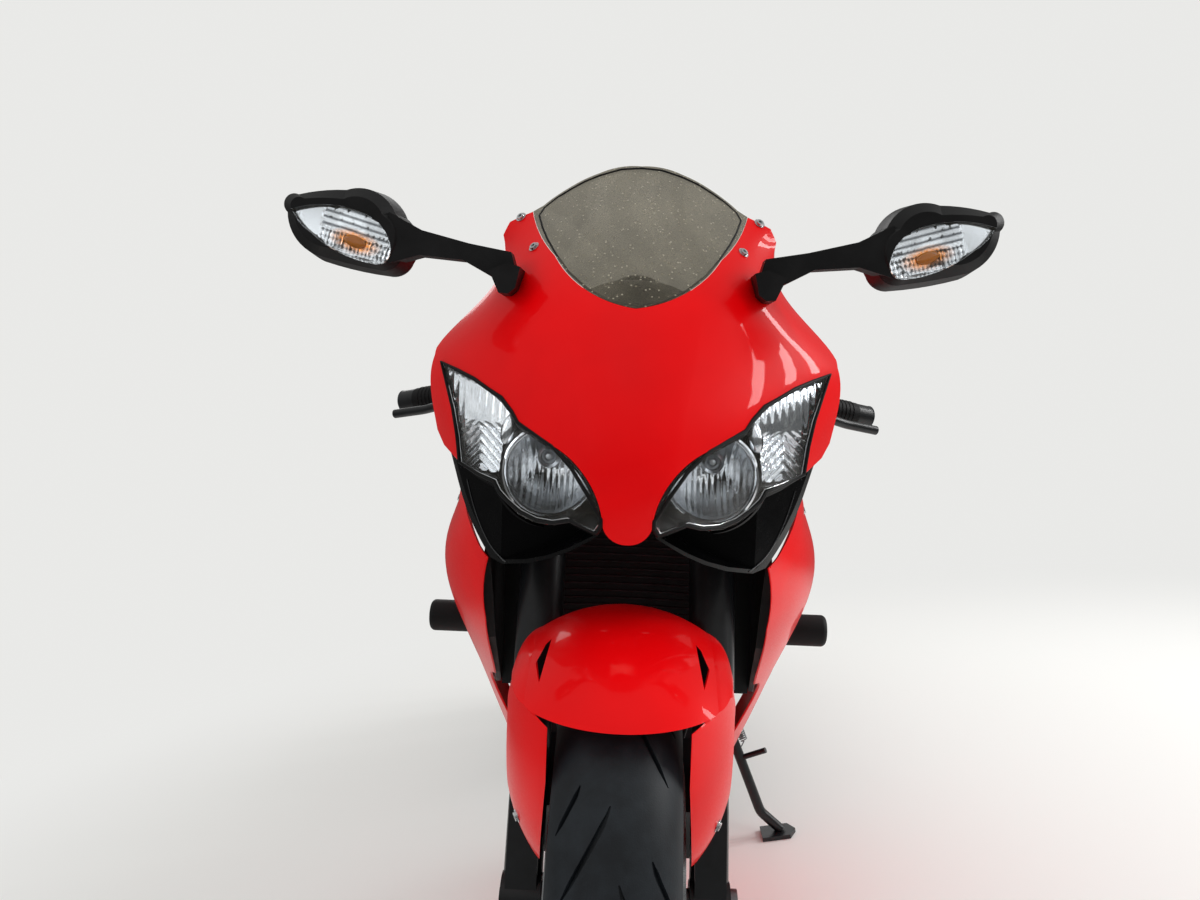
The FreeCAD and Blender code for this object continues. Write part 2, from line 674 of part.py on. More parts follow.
# Columns: height, front x, front y, middle x, middle y, rear x, rear y
WING_LEVELS = [
    (396, 62, -128, 84, -84, 88, 0), (444, 66, -152, 103, -92, 107, 20), (500, 66, -168, 111, -92, 112, 40),
    (550, 66, -174, 110, -92, 112, 50), (600, 64, -174, 102, -90, 104, 50),
]


def front_mudguard():
    """A visor over the tyre with two blades below it that wrap round the fork legs."""
    w, t = S["fender_half_w"], S["fender_wall"]
    top = S["front_tyre_r"] + S["fender_gap"]
    band = outline("xz", 0, [
        (w + 22, top - 66), (w + 16, top - 40, w, top - 28), (0, top, -w, top - 28),
        (-w - 16, top - 40, -w - 22, top - 66), (-w - 22 + t, top - 67),
        (-w - 14, top - 42, -w + 1, top - 28 - t), (0, top - t, w - 1, top - 28 - t),
        (w + 14, top - 42, w + 22 - t, top - 67),
    ])
    visor = Part.Face(band).revolve(Vector(), X_AXIS, 360)
    visor.translate(FRONT_AXLE)
    visor = visor.common(prism("yz", -120, 120, [
        (-260, 554), (-150, 559), (-100, 566), (-60, 568), (0, 556), (56, 540), (70, 420), (262, 500),
        (230, 560), (70, 720), (-300, 700),
    ]))
    visor = visor.common(prism("xy", 400, 700, [
        (-120, -300), (120, -300), (120, 40), (76, 62), (76, 280), (-76, 280), (-76, 62), (-120, 40),
    ]))
    under = outline("xz", 0, [
        (w + 22 - t / 2, 0), (w + 22 - t / 2, top - 66.5), (w + 15, top - 41, w, top - 29.5),
        (0, top - t / 2, -w, top - 29.5), (-w - 15, top - 41, -w - 22 + t / 2, top - 66.5),
        (-w - 22 + t / 2, 0),
    ])
    under = Part.Face(under).revolve(Vector(), X_AXIS, 360)
    under.translate(FRONT_AXLE)
    outer = Part.makeLoft([flank_section(*level, 0) for level in WING_LEVELS], True, False)
    inner = Part.makeLoft([flank_section(*level, t) for level in WING_LEVELS], True, False)
    wing = outer.cut(inner).common(under).common(prism("xz", -400, 60, [
        (74, 400), (81, 398), (101, 420), (116, 448), (130, 470), (130, 640), (64, 640), (65, 560), (66, 500),
    ]))
    wing = wing.common(prism("yz", 0, 200, [
        (-300, 380), (0, 380), (44, 440), (56, 500), (56, 640), (-300, 640),
    ]))
    guard = visor
    for part in both(wing):
        guard = guard.fuse(part)
    for part in both(prism("xz", -160, -10, [(86, 586), (79, 577), (74, 601), (79, 597)])):
        guard = guard.cut(part)
    for x in (-1, 1):
        shift = X_AXIS * (x * S["fork_spacing"] / 2)
        guard = guard.cut(cylinder(S["slider_r"] + S["gap"], leg_point(20) + shift, leg_point(500) + shift))
        guard = guard.cut(cylinder(S["leg_r"] + S["gap"], leg_point(S["leg_low"] - 1) + shift,
                                   leg_point(500) + shift))
    return biggest(guard.removeSplitter())


def fork_tubes():
    """Outer tubes, bored at the bottom for the inner ones."""
    x = S["fork_spacing"] / 2
    tube_out = cylinder(S["leg_r"], leg_point(S["leg_low"], x), leg_point(S["leg_top"], x))
    bore = cylinder(S["slider_r"] + S["gap"], leg_point(S["leg_low"] - 1, x), leg_point(S["leg_low"] + 70, x))
    cap = cylinder(14, leg_point(S["leg_top"], x), leg_point(S["leg_top"] + 9, x))
    return both(tube_out.cut(bore).fuse(cap))


def fork_sliders():
    """Inner tubes with the axle clamp and the caliper ears at the foot."""
    x = S["fork_spacing"] / 2
    slider = cylinder(S["slider_r"], leg_point(22, x), leg_point(S["leg_low"] + 69.7, x))
    clamp = cylinder(27, FRONT_AXLE + X_AXIS * (x - 22), FRONT_AXLE + X_AXIS * (x + 22))
    foot = prism("yz", x - 17, x + 17, [(-24, 306), (24, 290), (62, 360), (56, 424), (24, 436), (10, 400)])
    ear = prism("yz", x - 9.8, x + 6, [(30, 350), (92, 338), (118, 380), (96, 432), (48, 428)])
    hole = cylinder(S["axle_r"] + S["gap"], FRONT_AXLE, FRONT_AXLE + X_AXIS * 200)
    return both(slider.fuse(clamp).fuse(foot).fuse(ear).cut(hole).removeSplitter())


def front_calipers():
    """Four piston blocks that straddle the discs behind the legs."""
    x0, x1 = 46, S["fork_spacing"] / 2 - 10
    mid = S["front_disc_x"]
    edge = S["front_disc_r"]
    block = prism("yz", x0, x1, caliper_outline(FRONT_AXLE, 27, 24, edge - 60, edge + 26))
    slot = prism("yz", mid - 7.5, mid + 7.5, caliper_outline(FRONT_AXLE, 27, 40, edge - 100, edge + 6))
    leg = cylinder(S["slider_r"] + S["gap"], leg_point(0, S["fork_spacing"] / 2),
                   leg_point(300, S["fork_spacing"] / 2))
    return both(block.cut(slot).cut(leg))


def caliper_outline(centre, middle, half, r_in, r_out):
    """A block round an axle in the side view: degrees up from the rear, and two radii."""
    def at(r, degrees):
        a = math.radians(degrees)
        return centre.y + r * math.cos(a), centre.z + r * math.sin(a)
    return [
        at(r_in, middle - half), (*at(r_in, middle), *at(r_in, middle + half)), at(r_out, middle + half),
        (*at(r_out, middle), *at(r_out, middle - half)),
    ]


def yokes():
    """Lower and upper fork yokes with the stem between them."""
    x = S["fork_spacing"] / 2
    stem_top = S["upper_yoke_s"] + S["upper_yoke_t"] + 10
    body = cylinder(S["stem_r"], leg_point(S["lower_yoke_s"], 0, S["fork_offset"]),
                    leg_point(stem_top, 0, S["fork_offset"]))
    for s, t, r in ((S["lower_yoke_s"], S["lower_yoke_t"], S["yoke_clamp_r"]),
                    (S["upper_yoke_s"], S["upper_yoke_t"], S["yoke_clamp_r"] - 2)):
        web = [leg_point(s, *spot) for spot in ((-x, -22), (x, -22), (x, 24), (30, 58), (-30, 58), (-x, 24))]
        body = body.fuse(Part.Face(Part.makePolygon(web + web[:1])).extrude(LEG_DIR * t))
        for side in (-x, x):
            body = body.fuse(cylinder(r, leg_point(s, side), leg_point(s + t, side)))
    for side in (-x, x):
        body = body.cut(cylinder(S["leg_r"] + S["gap"], leg_point(400, side), leg_point(700, side)))
    return body.removeSplitter()


def bar_line():
    """The left bar's start at its leg, its end and its direction."""
    start = leg_point(S["clip_s"] + S["clip_t"] / 2, S["fork_spacing"] / 2)
    end = Vector(S["bar_end_x"], S["bar_end_y"], S["bar_end_z"])
    return start, end, (end - start).normalize()


def handlebars():
    """Clip-on clamps under the upper yoke, bars and their end weights."""
    start, end, way = bar_line()
    x = S["fork_spacing"] / 2
    clamp = cylinder(S["clip_r"], leg_point(S["clip_s"], x), leg_point(S["clip_s"] + S["clip_t"], x))
    bar = cylinder(S["bar_r"], start, end)
    weight = cylinder(S["grip_r"] - 0.5, end - way * S["bar_weight_len"], end)
    hole = cylinder(S["leg_r"] + S["gap"], leg_point(400, x), leg_point(700, x))
    return both(clamp.fuse(bar).fuse(weight).cut(hole).removeSplitter())


def grips():
    start, end, way = bar_line()
    a = end - way * (S["bar_weight_len"] + S["gap"])
    b = a - way * S["grip_len"]
    return both(ring(S["grip_r"], S["bar_r"] + S["gap"], b, a))


def controls():
    """Switch blocks and the lever clamps with their levers, and the reservoirs above."""
    start, end, way = bar_line()
    inner = end - way * (S["bar_weight_len"] + S["grip_len"] + 2 * S["gap"])
    ahead = way.cross(Z_AXIS).normalize() * -1
    if ahead.y > 0:
        ahead = ahead * -1
    down = way.cross(ahead).normalize()
    if down.z > 0:
        down = down * -1
    switch = ring(20, S["bar_r"] + S["gap"], inner - way * 34, inner)
    holder = ring(17, S["bar_r"] + S["gap"], inner - way * 52, inner - way * 34.3)
    root = inner - way * 43 + ahead * 40 + down * 6
    arm = cylinder(8, inner - way * 43 + ahead * 14, root + ahead * 6)
    tip = end - way * 16 + ahead * 44 + down * 18
    bend = root + way * 40 + ahead * 14 + down * 6
    lever = tube([root - way * 8, (bend, 40), (tip - way * 50, 90), tip], 6)
    pot = cylinder(19, root + Z_AXIS * 4, root + Z_AXIS * 44)
    body = holder.fuse(arm).fuse(lever).fuse(pot).removeSplitter()
    return both(switch) + both(body)


def brake_hoses():
    """From the lower yoke down behind each leg to its caliper."""
    x = S["fork_spacing"] / 2
    back = S["leg_r"] + 8
    hose = tube([
        leg_point(S["lower_yoke_s"] + 8, x - 14, back + 2), (leg_point(300, x - 8, back + 2), 120),
        (leg_point(206, x - 22, back + 12), 60), Vector(70, 126, 436),
    ], 4)
    return hose


def axle_piece(name, at_y, at_z, r, bore, length, collars):
    """A hollow axle: a bored cylinder with spacer collars, all bound to the sheet."""
    parts = [linked_cylinder(name + "_bar", t(0, **{r: 1}), t(0, **{length: 1}), t(0, **{length: -0.5}))]
    for k, (radius, low, high) in enumerate(collars):
        parts.append(linked_cylinder(f"{name}_collar{k}", t(radius), t(high - low), t(low)))
    fused = doc.addObject("Part::MultiFuse", name + "_whole")
    fused.Shapes = parts
    hole = linked_cylinder(name + "_hole", t(0, **{bore: 1}), t(20, **{length: 1}), t(-10, **{length: -0.5}))
    cut = doc.addObject("Part::Cut", name)
    cut.Base, cut.Tool = fused, hole
    cut.Placement = Placement(Vector(0, at_y, at_z), Rotation())
    return keep(cut, name)


def t(plus=0.0, **aliases):
    """A number from the sheet's sizes, and the expression that binds to it."""
    value = plus + sum(S[alias] * k for alias, k in aliases.items())
    text = " + ".join([f"({k}) * sizes.{alias}" for alias, k in aliases.items()] + [f"({plus})"])
    return value, text


def linked_cylinder(name, r, length, start):
    """A cylinder along X whose radius, length and start are bound to the sheet."""
    obj = doc.addObject("Part::Cylinder", name)
    obj.Placement = Placement(Vector(start[0], 0, 0), Rotation(Y_AXIS, 90))
    obj.setExpression("Radius", r[1])
    obj.setExpression("Height", length[1])
    obj.setExpression("Placement.Base.x", start[1])
    return obj


def plane_of(body, role):
    return next(f for f in body.Origin.OriginFeatures if f.Role == role)


def sketch(body, role, points=(), circles=()):
    """A sketch on a body's origin plane: one closed polygon and circles, bound to the sheet.
    Points are pairs of t() values, circles are centre x, centre y and radius."""
    sk = body.newObject("Sketcher::SketchObject", "profile")
    sk.AttachmentSupport = [(plane_of(body, role), "")]
    sk.MapMode = "FlatFace"
    spots = [Vector(a[0], b[0], 0) for a, b in points]
    for k, spot in enumerate(spots):
        sk.addGeometry(Part.LineSegment(spot, spots[(k + 1) % len(spots)]), False)
    for k in range(len(spots)):
        sk.addConstraint(Sketcher.Constraint("Coincident", k, 2, (k + 1) % len(spots), 1))
    for k, (a, b) in enumerate(points):
        for kind, (value, text) in (("DistanceX", a), ("DistanceY", b)):
            row = sk.addConstraint(Sketcher.Constraint(kind, -1, 1, k, 1, value))
            sk.setExpression(f"Constraints[{row}]", text)
    for x, y, r in circles:
        k = sk.addGeometry(Part.Circle(Vector(x[0], y[0], 0), Z_AXIS, r[0]), False)
        if x[0] == 0 and y[0] == 0:
            sk.addConstraint(Sketcher.Constraint("Coincident", k, 3, -1, 1))
        else:
            for kind, (value, text) in (("DistanceX", x), ("DistanceY", y)):
                row = sk.addConstraint(Sketcher.Constraint(kind, -1, 1, k, 3, value))
                sk.setExpression(f"Constraints[{row}]", text)
        row = sk.addConstraint(Sketcher.Constraint("Radius", k, r[0]))
        sk.setExpression(f"Constraints[{row}]", r[1])
    return sk


def new_body(name):
    body = doc.addObject("PartDesign::Body", name)
    return body


def revolve(body, sk):
    """A solid of revolution about the sketch's horizontal axis, which is the wheel's axis."""
    rev = body.newObject("PartDesign::Revolution", "turned")
    rev.Profile = sk
    rev.ReferenceAxis = (sk, ["H_Axis"])
    rev.Angle = 360
    body.Tip = rev
    return rev


def pad(body, sk, length, midplane=False):
    feature_pad = body.newObject("PartDesign::Pad", "padded")
    feature_pad.Profile = sk
    feature_pad.setExpression("Length", length[1])
    feature_pad.SideType = "Symmetric" if midplane else "One side"
    body.Tip = feature_pad
    return feature_pad


def pocket_through(body, sk):
    cut = body.newObject("PartDesign::Pocket", "cut")
    cut.Profile = sk
    cut.SideType = "Symmetric"
    cut.Type = "ThroughAll"
    body.Tip = cut
    return cut


def around(body, what, count):
    """Repeats a feature round the wheel's axis."""
    pattern = body.newObject("PartDesign::PolarPattern", "round")
    pattern.Originals = [what]
    pattern.Axis = (what.Profile[0], ["N_Axis"])
    pattern.Angle = 360
    pattern.Occurrences = count
    body.Tip = pattern
    return pattern


def rim(name, centre, width, hub_r, hub_left, hub_right, axle, spokes):
    """A cast wheel: hub, spokes by polar pattern, then the barrel with its well and flanges."""
    body = new_body(name)
    bore = t(0, running_gap=1, **{axle: 1})
    revolve(body, sketch(body, "XZ_Plane", [
        (t(0, **{hub_right: -1}), bore), (t(0, **{hub_left: 1}), bore),
        (t(0, **{hub_left: 1}), t(0, **{hub_r: 1})), (t(0, **{hub_right: -1}), t(0, **{hub_r: 1})),
    ]))
    spoke = pad(body, sketch(body, "YZ_Plane", [
        (t(0, spoke_root_w=-0.5), t(-6, **{hub_r: 1})), (t(0, spoke_root_w=0.5), t(-6, **{hub_r: 1})),
        (t(0, spoke_tip_w=0.5), t(-24, rim_seat_r=1)), (t(0, spoke_tip_w=-0.5), t(-24, rim_seat_r=1)),
    ]), t(0, spoke_tip_t=0.5, spoke_root_t=0.5), True)
    around(body, spoke, spokes)
    half = []
    for k, plus, r in ((0.5, "rim_wall", t(0, rim_seat_r=1, rim_wall=-1)),
                       (0.5, "rim_wall", t(0, rim_seat_r=1, rim_flange_h=1)),
                       (0.5, None, t(0, rim_seat_r=1, rim_flange_h=1)), (0.5, None, t(0, rim_seat_r=1)),
                       (0.32, None, t(0, rim_seat_r=1)), (0.24, None, t(-20, rim_seat_r=1))):
        half.append(({width: k}, plus, r))
    low = [(0.24, t(-20, rim_seat_r=1, rim_wall=-1)), (0.32, t(0, rim_seat_r=1, rim_wall=-1))]
    points = []
    for sign in (-1, 1):
        row = [(t(0, **{a: k * sign for a, k in terms.items()}, **({plus: sign} if plus else {})), r)
               for terms, plus, r in half]
        points += row if sign < 0 else row[::-1]
    points += [(t(0, **{width: 0.32}), low[1][1]), (t(0, **{width: 0.24}), low[0][1]),
               (t(0, **{width: -0.24}), low[0][1]), (t(0, **{width: -0.32}), low[1][1])]
    revolve(body, sketch(body, "XZ_Plane", points))
    body.Placement = Placement(centre, Rotation())
    return keep(body, name)


def tyre(name, centre, width, radius, drop, rim_w):
    """Carcass with a round crown: outer and inner arcs about the axle's line."""
    w, r, d = S[width] / 2, S[radius], S[drop]
    seat, flange = S["rim_seat_r"] + S["gap"], S["rim_seat_r"] + S["rim_flange_h"] + S["gap"]
    b, wall = S[rim_w] / 2 - S["gap"], S["tyre_wall"]
    side = (r - d + flange) / 2
    section = outline("xz", 0, [
        (b - wall, seat), (b, seat), (b, flange), (b + S["rim_wall"] * 0.8, flange + 3),
        (w - 1, side, w, r - d), (0, r, -w, r - d), (-w + 1, side, -b - S["rim_wall"] * 0.8, flange + 3),
        (-b, flange), (-b, seat), (-b + wall, seat), (-b + wall, flange + 4),
        (-w + wall + 1, side, -w + wall, r - d - 4), (0, r - wall, w - wall, r - d - 4),
        (w - wall - 1, side, b - wall, flange + 4),
    ])
    obj = doc.addObject("Part::Feature", name)
    obj.Shape = Part.Face(section).revolve(Vector(), X_AXIS, 360)
    obj.Placement = Placement(centre, Rotation())
    return keep(obj, name)


def disc_body(name, r, thick, hub_hole, window_at, window_r, windows):
    """A brake disc about X: its band and a carrier with round windows."""
    body = new_body(name)
    pad(body, sketch(body, "YZ_Plane", circles=[(t(0), t(0), t(0, **{r: 1})), (t(0), t(0), t(hub_hole))]),
        t(0, **{thick: 1}), True)
    window = pocket_through(body, sketch(body, "YZ_Plane", circles=[(t(0), t(window_at), t(window_r))]))
    around(body, window, windows)
    return body


def front_discs():
    left = disc_body("front_disc_left", "front_disc_r", "front_disc_t", 30, 84, 27, 7)
    left.setExpression("Placement.Base.x", "sizes.front_disc_x")
    right = doc.addObject("Part::Mirroring", "front_disc_right")
    right.Source = left
    right.Normal = X_AXIS
    pair = doc.addObject("Part::Compound", "front_discs")
    pair.Links = [left, right]
    pair.Placement = Placement(FRONT_AXLE, Rotation())
    return keep(pair, "front_discs")


def rear_disc():
    body = disc_body("rear_disc", "rear_disc_r", "rear_disc_t", 34, 56, 13, 6)
    body.Placement = Placement(REAR_AXLE - X_AXIS * S["rear_disc_x"], Rotation())
    return keep(body, "rear_disc")


def sprocket():
    """The rear sprocket with a notch between teeth, cut round it."""
    body = new_body("rear_sprocket")
    pad(body, sketch(body, "YZ_Plane", circles=[(t(0), t(0), t(0, sprocket_r=1)), (t(0), t(0), t(34))]),
        t(0, sprocket_t=1), True)
    windows = pocket_through(body, sketch(body, "YZ_Plane", circles=[(t(0), t(62), t(16))]))
    around(body, windows, 6)
    body.Placement = Placement(REAR_AXLE + X_AXIS * S["chain_x"], Rotation())
    return keep(body, "rear_sprocket")


SPROCKET_AT = Vector(0, 770, 345)
SHOCK_TOP = (776, 520)
CHAIN_R = 106.0
DRIVE_R = 42.0


def chain_band(inner, outer, x0, x1):
    """A closed band round both sprockets, between two offsets from the pitch line."""
    def loop(off):
        a, b = SPROCKET_AT, Vector(0, REAR_AXLE.y, REAR_AXLE.z)
        along = (b - a).normalize()
        tilt = math.asin((CHAIN_R - DRIVE_R) / (b - a).Length)
        ends = []
        for sign in (1, -1):
            square = Rotation(X_AXIS, math.degrees(tilt) * sign + 90 * sign).multVec(along)
            ends.append((a + square * (DRIVE_R + off), b + square * (CHAIN_R + off)))
        front, rear = a - along * (DRIVE_R + off), b + along * (CHAIN_R + off)
        (a_up, b_up), (a_low, b_low) = ends
        wire = Part.Wire([
            Part.LineSegment(a_up, b_up).toShape(), Part.Arc(b_up, rear, b_low).toShape(),
            Part.LineSegment(b_low, a_low).toShape(), Part.Arc(a_low, front, a_up).toShape(),
        ])
        solid = Part.Face(wire).extrude(X_AXIS * (x1 - x0))
        solid.translate(X_AXIS * x0)
        return solid
    return loop(outer).cut(loop(inner))


def chain():
    """Two rows of side plates and the rollers between them, as bands along the pitch line."""
    x, half, depth = S["chain_x"], S["chain_w"] / 2, S["chain_depth"] / 2
    body = chain_band(-depth, depth, x - half, x - half + 4)
    body = body.fuse(chain_band(-depth, depth, x + half - 4, x + half))
    return body.fuse(chain_band(-3, 4, x - half + 4, x + half - 4)).removeSplitter()


def drive_sprocket():
    x = S["chain_x"]
    disc = cylinder(DRIVE_R - 8, SPROCKET_AT + X_AXIS * (x - 4), SPROCKET_AT + X_AXIS * (x + 4))
    shaft = cylinder(16, SPROCKET_AT + X_AXIS * 96, SPROCKET_AT + X_AXIS * (x + 8))
    return disc.fuse(shaft)


def swingarm():
    """Pivot tube, box section between the chain's runs and two tapered legs."""
    pivot = Vector(0, S["swingarm_pivot_y"], S["swingarm_pivot_z"])
    reach = S["plate_in_x"] - S["gap"]
    a, b = S["arm_in_x"], S["arm_in_x"] + S["arm_t"]
    body = cylinder(19, pivot - X_AXIS * reach, pivot + X_AXIS * reach)
    body = body.fuse(box(-reach, reach, 850, 1000, 332, 375))
    body = body.fuse(prism("yz", -b, b, [
        (897, 330), (940, 322), (1075, 312), (1084, 330), (1075, 366), (897, 375),
    ]))
    for side in (-1, 1):
        lo, hi = sorted((side * a, side * b))
        body = body.fuse(prism("yz", lo, hi, [
            (897, 318), (1100, 288), (1360, 284), (1452, 288), (1468, 311, 1452, 334), (1360, 340),
            (1080, 386), (897, 386),
        ]))
    core = prism("yz", -84, 84, [(1010, 327), (1062, 327), (1062, 353), (1010, 357)])
    bolt = cylinder(12.3, pivot - X_AXIS * 200, pivot + X_AXIS * 200)
    hole = cylinder(S["rear_axle_r"] + S["gap"], REAR_AXLE - X_AXIS * 300, REAR_AXLE + X_AXIS * 300)
    body = body.cut(bolt).cut(hole).cut(core)
    for side in (-1, 1):
        at = Vector(side * (b - S["spool_hole_d"]), 1330, 308)
        body = body.cut(cylinder(S["spool_hole_r"], at, at + X_AXIS * side * 60))
    return body.removeSplitter()


def pivot_bolt():
    pivot = Vector(0, S["swingarm_pivot_y"], S["swingarm_pivot_z"])
    o = S["plate_in_x"] + S["plate_t"] + S["gap"]
    bolt = cylinder(12, pivot - X_AXIS * (o + 2), pivot + X_AXIS * (o + 2))
    for side in (-1, 1):
        bolt = bolt.fuse(cylinder(19, pivot + X_AXIS * side * o, pivot + X_AXIS * side * (o + 11)))
    return bolt.removeSplitter()


def rear_shock():
    low, high = Vector(0, 924, 386), Vector(0, *SHOCK_TOP)
    along = (high - low).normalize()
    cross = cylinder(17.3, Vector(-200, *SHOCK_TOP), Vector(200, *SHOCK_TOP))
    body = cylinder(13, low, high).fuse(cylinder(31, low + along * 24, low + along * 142))
    foot = box(-16, 16, 904, 944, 375.3, 396)
    return body.fuse(foot).cut(cross).removeSplitter()


def rear_hugger():
    """A short mudguard that follows the rear tyre, on a foot on the swingarm."""
    r = S["rear_tyre_r"] + 12
    band = outline("xz", 0, [(-92, r - 48), (0, r, 92, r - 48), (92, r - 45), (0, r + 3, -92, r - 45)])
    guard = Part.Face(band).revolve(Vector(), X_AXIS, 360)
    guard.translate(REAR_AXLE)
    guard = guard.common(prism("yz", -120, 120, [
        (1410, 311), (1060, 372), (1000, 700), (1380, 700), (1400, 600),
    ]))
    foot = box(-60, 60, 1010, 1092, 366, 380).common(
        prism("yz", -60, 60, [(1000, 376), (1070, 366.3), (1096, 366.3), (1096, 380), (1000, 380)]))
    foot = foot.cut(cylinder(r + 1, REAR_AXLE - X_AXIS * 100, REAR_AXLE + X_AXIS * 100))
    return guard.fuse(foot).removeSplitter()


def rear_caliper():
    """A small caliper under the right leg of the swingarm, on a bracket round the axle."""
    block = prism("yz", -118, -84, caliper_outline(REAR_AXLE, 208, 22, 64, 128))
    slot = prism("yz", -108, -92, caliper_outline(REAR_AXLE, 208, 40, 20, 116))
    bracket = prism("yz", -128.7, -118, [
        (1410, 281), (1436, 311, 1410, 341), (1370, 336), (1300, 290), (1296, 244), (1340, 214),
    ])
    hole = cylinder(S["rear_axle_r"] + S["gap"], REAR_AXLE - X_AXIS * 300, REAR_AXLE)
    return block.cut(slot).fuse(bracket).cut(hole).removeSplitter()


def subframe():
    """Struts from the spars and the pivot plates up to the tail."""
    parts = []
    for x in (-1, 1):
        upper = tube([
            Vector(x * 134, 770, 552), (Vector(x * 116, 812, 660), 40), Vector(x * 96, 900, 730),
        ], 10)
        lower = tube([
            Vector(x * 130, 850, 450), (Vector(x * 112, 930, 610), 60), Vector(x * 96, 1040, 790),
        ], 10)
        link = tube([Vector(x * 116, 812, 655), Vector(x * 113, 925, 612)], 8)
        parts.append(upper.fuse(lower).fuse(link))
    return parts


def rear_mudguard():
    """The hanger under the tail, bent down behind the tyre."""
    side = prism("yz", -70, 70, [
        (1390, 880), (1480, 905), (1590, 826), (1716, 700), (1780, 632), (1776, 606), (1696, 664),
        (1560, 790),
        (1470, 840),
    ])
    inner = prism("yz", -66, 66, [
        (1410, 840), (1486, 868), (1584, 812), (1712, 690), (1790, 606), (1696, 640), (1560, 780),
    ])
    return side.cut(inner)


def rear_indicators():
    """Stalks on the hanger; the lenses are a piece of their own."""
    stalks, lenses = [], []
    for x in (-1, 1):
        stalks.append(cylinder(7, Vector(x * 62, 1614, 800), Vector(x * 117.7, 1614, 800)))
        rows = []
        for level, front, rear, half in ((118, 1598, 1624, 13), (140, 1594, 1628, 17), (186, 1600, 1622, 9)):
            rows.append(outline("yz", x * level, [
                (front, 800), (1614, 800 + half, rear, 800), (1614, 800 - half, front, 800),
            ]))
        lenses.append(Part.makeLoft(rows, True, False))
    return stalks, lenses


def footrests():
    """Rider's hangers with pegs, pedal and gear lever; passenger's hangers with pegs."""
    out = []
    base = S["plate_in_x"] + S["plate_t"]
    face = base + 19
    for x in (-1, 1):
        plate = prism("yz", *sorted((x * face, x * (face + 9))), [
            (842, 410), (880, 396), (882, 350), (856, 332), (868, 318), (954, 374), (958, 398), (905, 436),
            (852, 426),
        ])
        for y, z in ((858, 412), (868, 332)):
            plate = plate.fuse(cylinder(8, Vector(x * base, y, z), Vector(x * (face + 4), y, z)))
        peg_end = face + 9 + S["peg_len"]
        peg = cylinder(S["peg_r"], Vector(x * (face + 2), 935, 386), Vector(x * peg_end, 935, 386))
        lever = tube([
            Vector(x * (face + 5), 925, 376), (Vector(x * (face + 16), 880, 330), 30),
            (Vector(x * (face + 16), 800, 330), 12), Vector(x * (face + 50), 800, 330),
        ], 6)
        out.append(plate.fuse(peg).fuse(lever).removeSplitter())
        strut = prism("yz", *sorted((x * 112, x * 122)), [
            (1000, 750), (1130, 812), (1096, 590), (1076, 572), (1060, 590),
        ])
        hole = prism("yz", *sorted((x * 90, x * 130)), [(1036, 744), (1098, 770), (1082, 640)])
        rest = cylinder(9, Vector(x * 113, 1078, 592), Vector(x * 196, 1078, 592))
        out.append(strut.cut(hole).fuse(rest).removeSplitter())
    return out


def frame_sliders():
    """Rubber pucks beside the engine, on bolts through the side panels."""
    at = lambda x: Vector(x, S["slider_y"], S["slider_z"])
    puck = cylinder(S["slider_puck_r"], at(S["slider_reach"] - 61), at(S["slider_reach"]))
    puck = puck.makeFillet(8, [e for e in puck.Edges if e.BoundBox.XMin > S["slider_reach"] - 1])
    bolt = cylinder(11, at(112), at(S["slider_reach"] - 55))
    return both(puck.fuse(bolt).removeSplitter())


def stand_place():
    """The deployed foot on the floor, in the upright frame."""
    a = math.radians(S["lean"])
    rc = ((S["rear_tyre_w"] / 2) ** 2 + S["rear_crown_drop"] ** 2) / (2 * S["rear_crown_drop"])
    drop = rc * (math.cos(a) - 1)
    x = S["stand_foot_x"]
    return Vector(x, S["stand_foot_y"], (x * math.sin(a) + drop) / math.cos(a))


STAND_PIVOT = Vector(S["stand_pivot_x"], S["stand_pivot_y"], S["stand_pivot_z"])
STAND_AXIS = Vector(0.8716, 0, 0.4903).normalize()


def side_stand():
    """Leg with a pivot cheek and pin, a curved foot flat on the floor and a kick tang."""
    foot_at = stand_place()
    a = math.radians(S["lean"])
    floor_up = Vector(-math.sin(a), 0, math.cos(a))
    floor_out = Vector(math.cos(a), 0, math.sin(a))
    head = STAND_PIVOT + STAND_AXIS * 22
    body = cylinder(17, STAND_PIVOT + STAND_AXIS * 12, STAND_PIVOT + STAND_AXIS * 30)
    body = body.fuse(cylinder(8, STAND_PIVOT - STAND_AXIS * 9, STAND_PIVOT + STAND_AXIS * 14))
    ankle = foot_at + floor_up * 22 - floor_out * 16
    bend = foot_at + floor_up * 46 - floor_out * 18
    sole = foot_at + floor_up * 8 + floor_out * 14
    body = body.fuse(tube([head, (bend, 30), sole], S["stand_tube_r"]))
    corners = ((-22, -24), (28, -24), (40, 0), (28, 24), (-22, 24))
    pad_at = [foot_at + floor_out * u + Y_AXIS * v for u, v in corners]
    body = body.fuse(Part.Face(Part.makePolygon(pad_at + pad_at[:1])).extrude(floor_up * 7))
    middle = head + (ankle - head) * 0.42
    body = body.fuse(cylinder(5, middle, middle + Vector(44, -18, 24)))
    return body.removeSplitter()


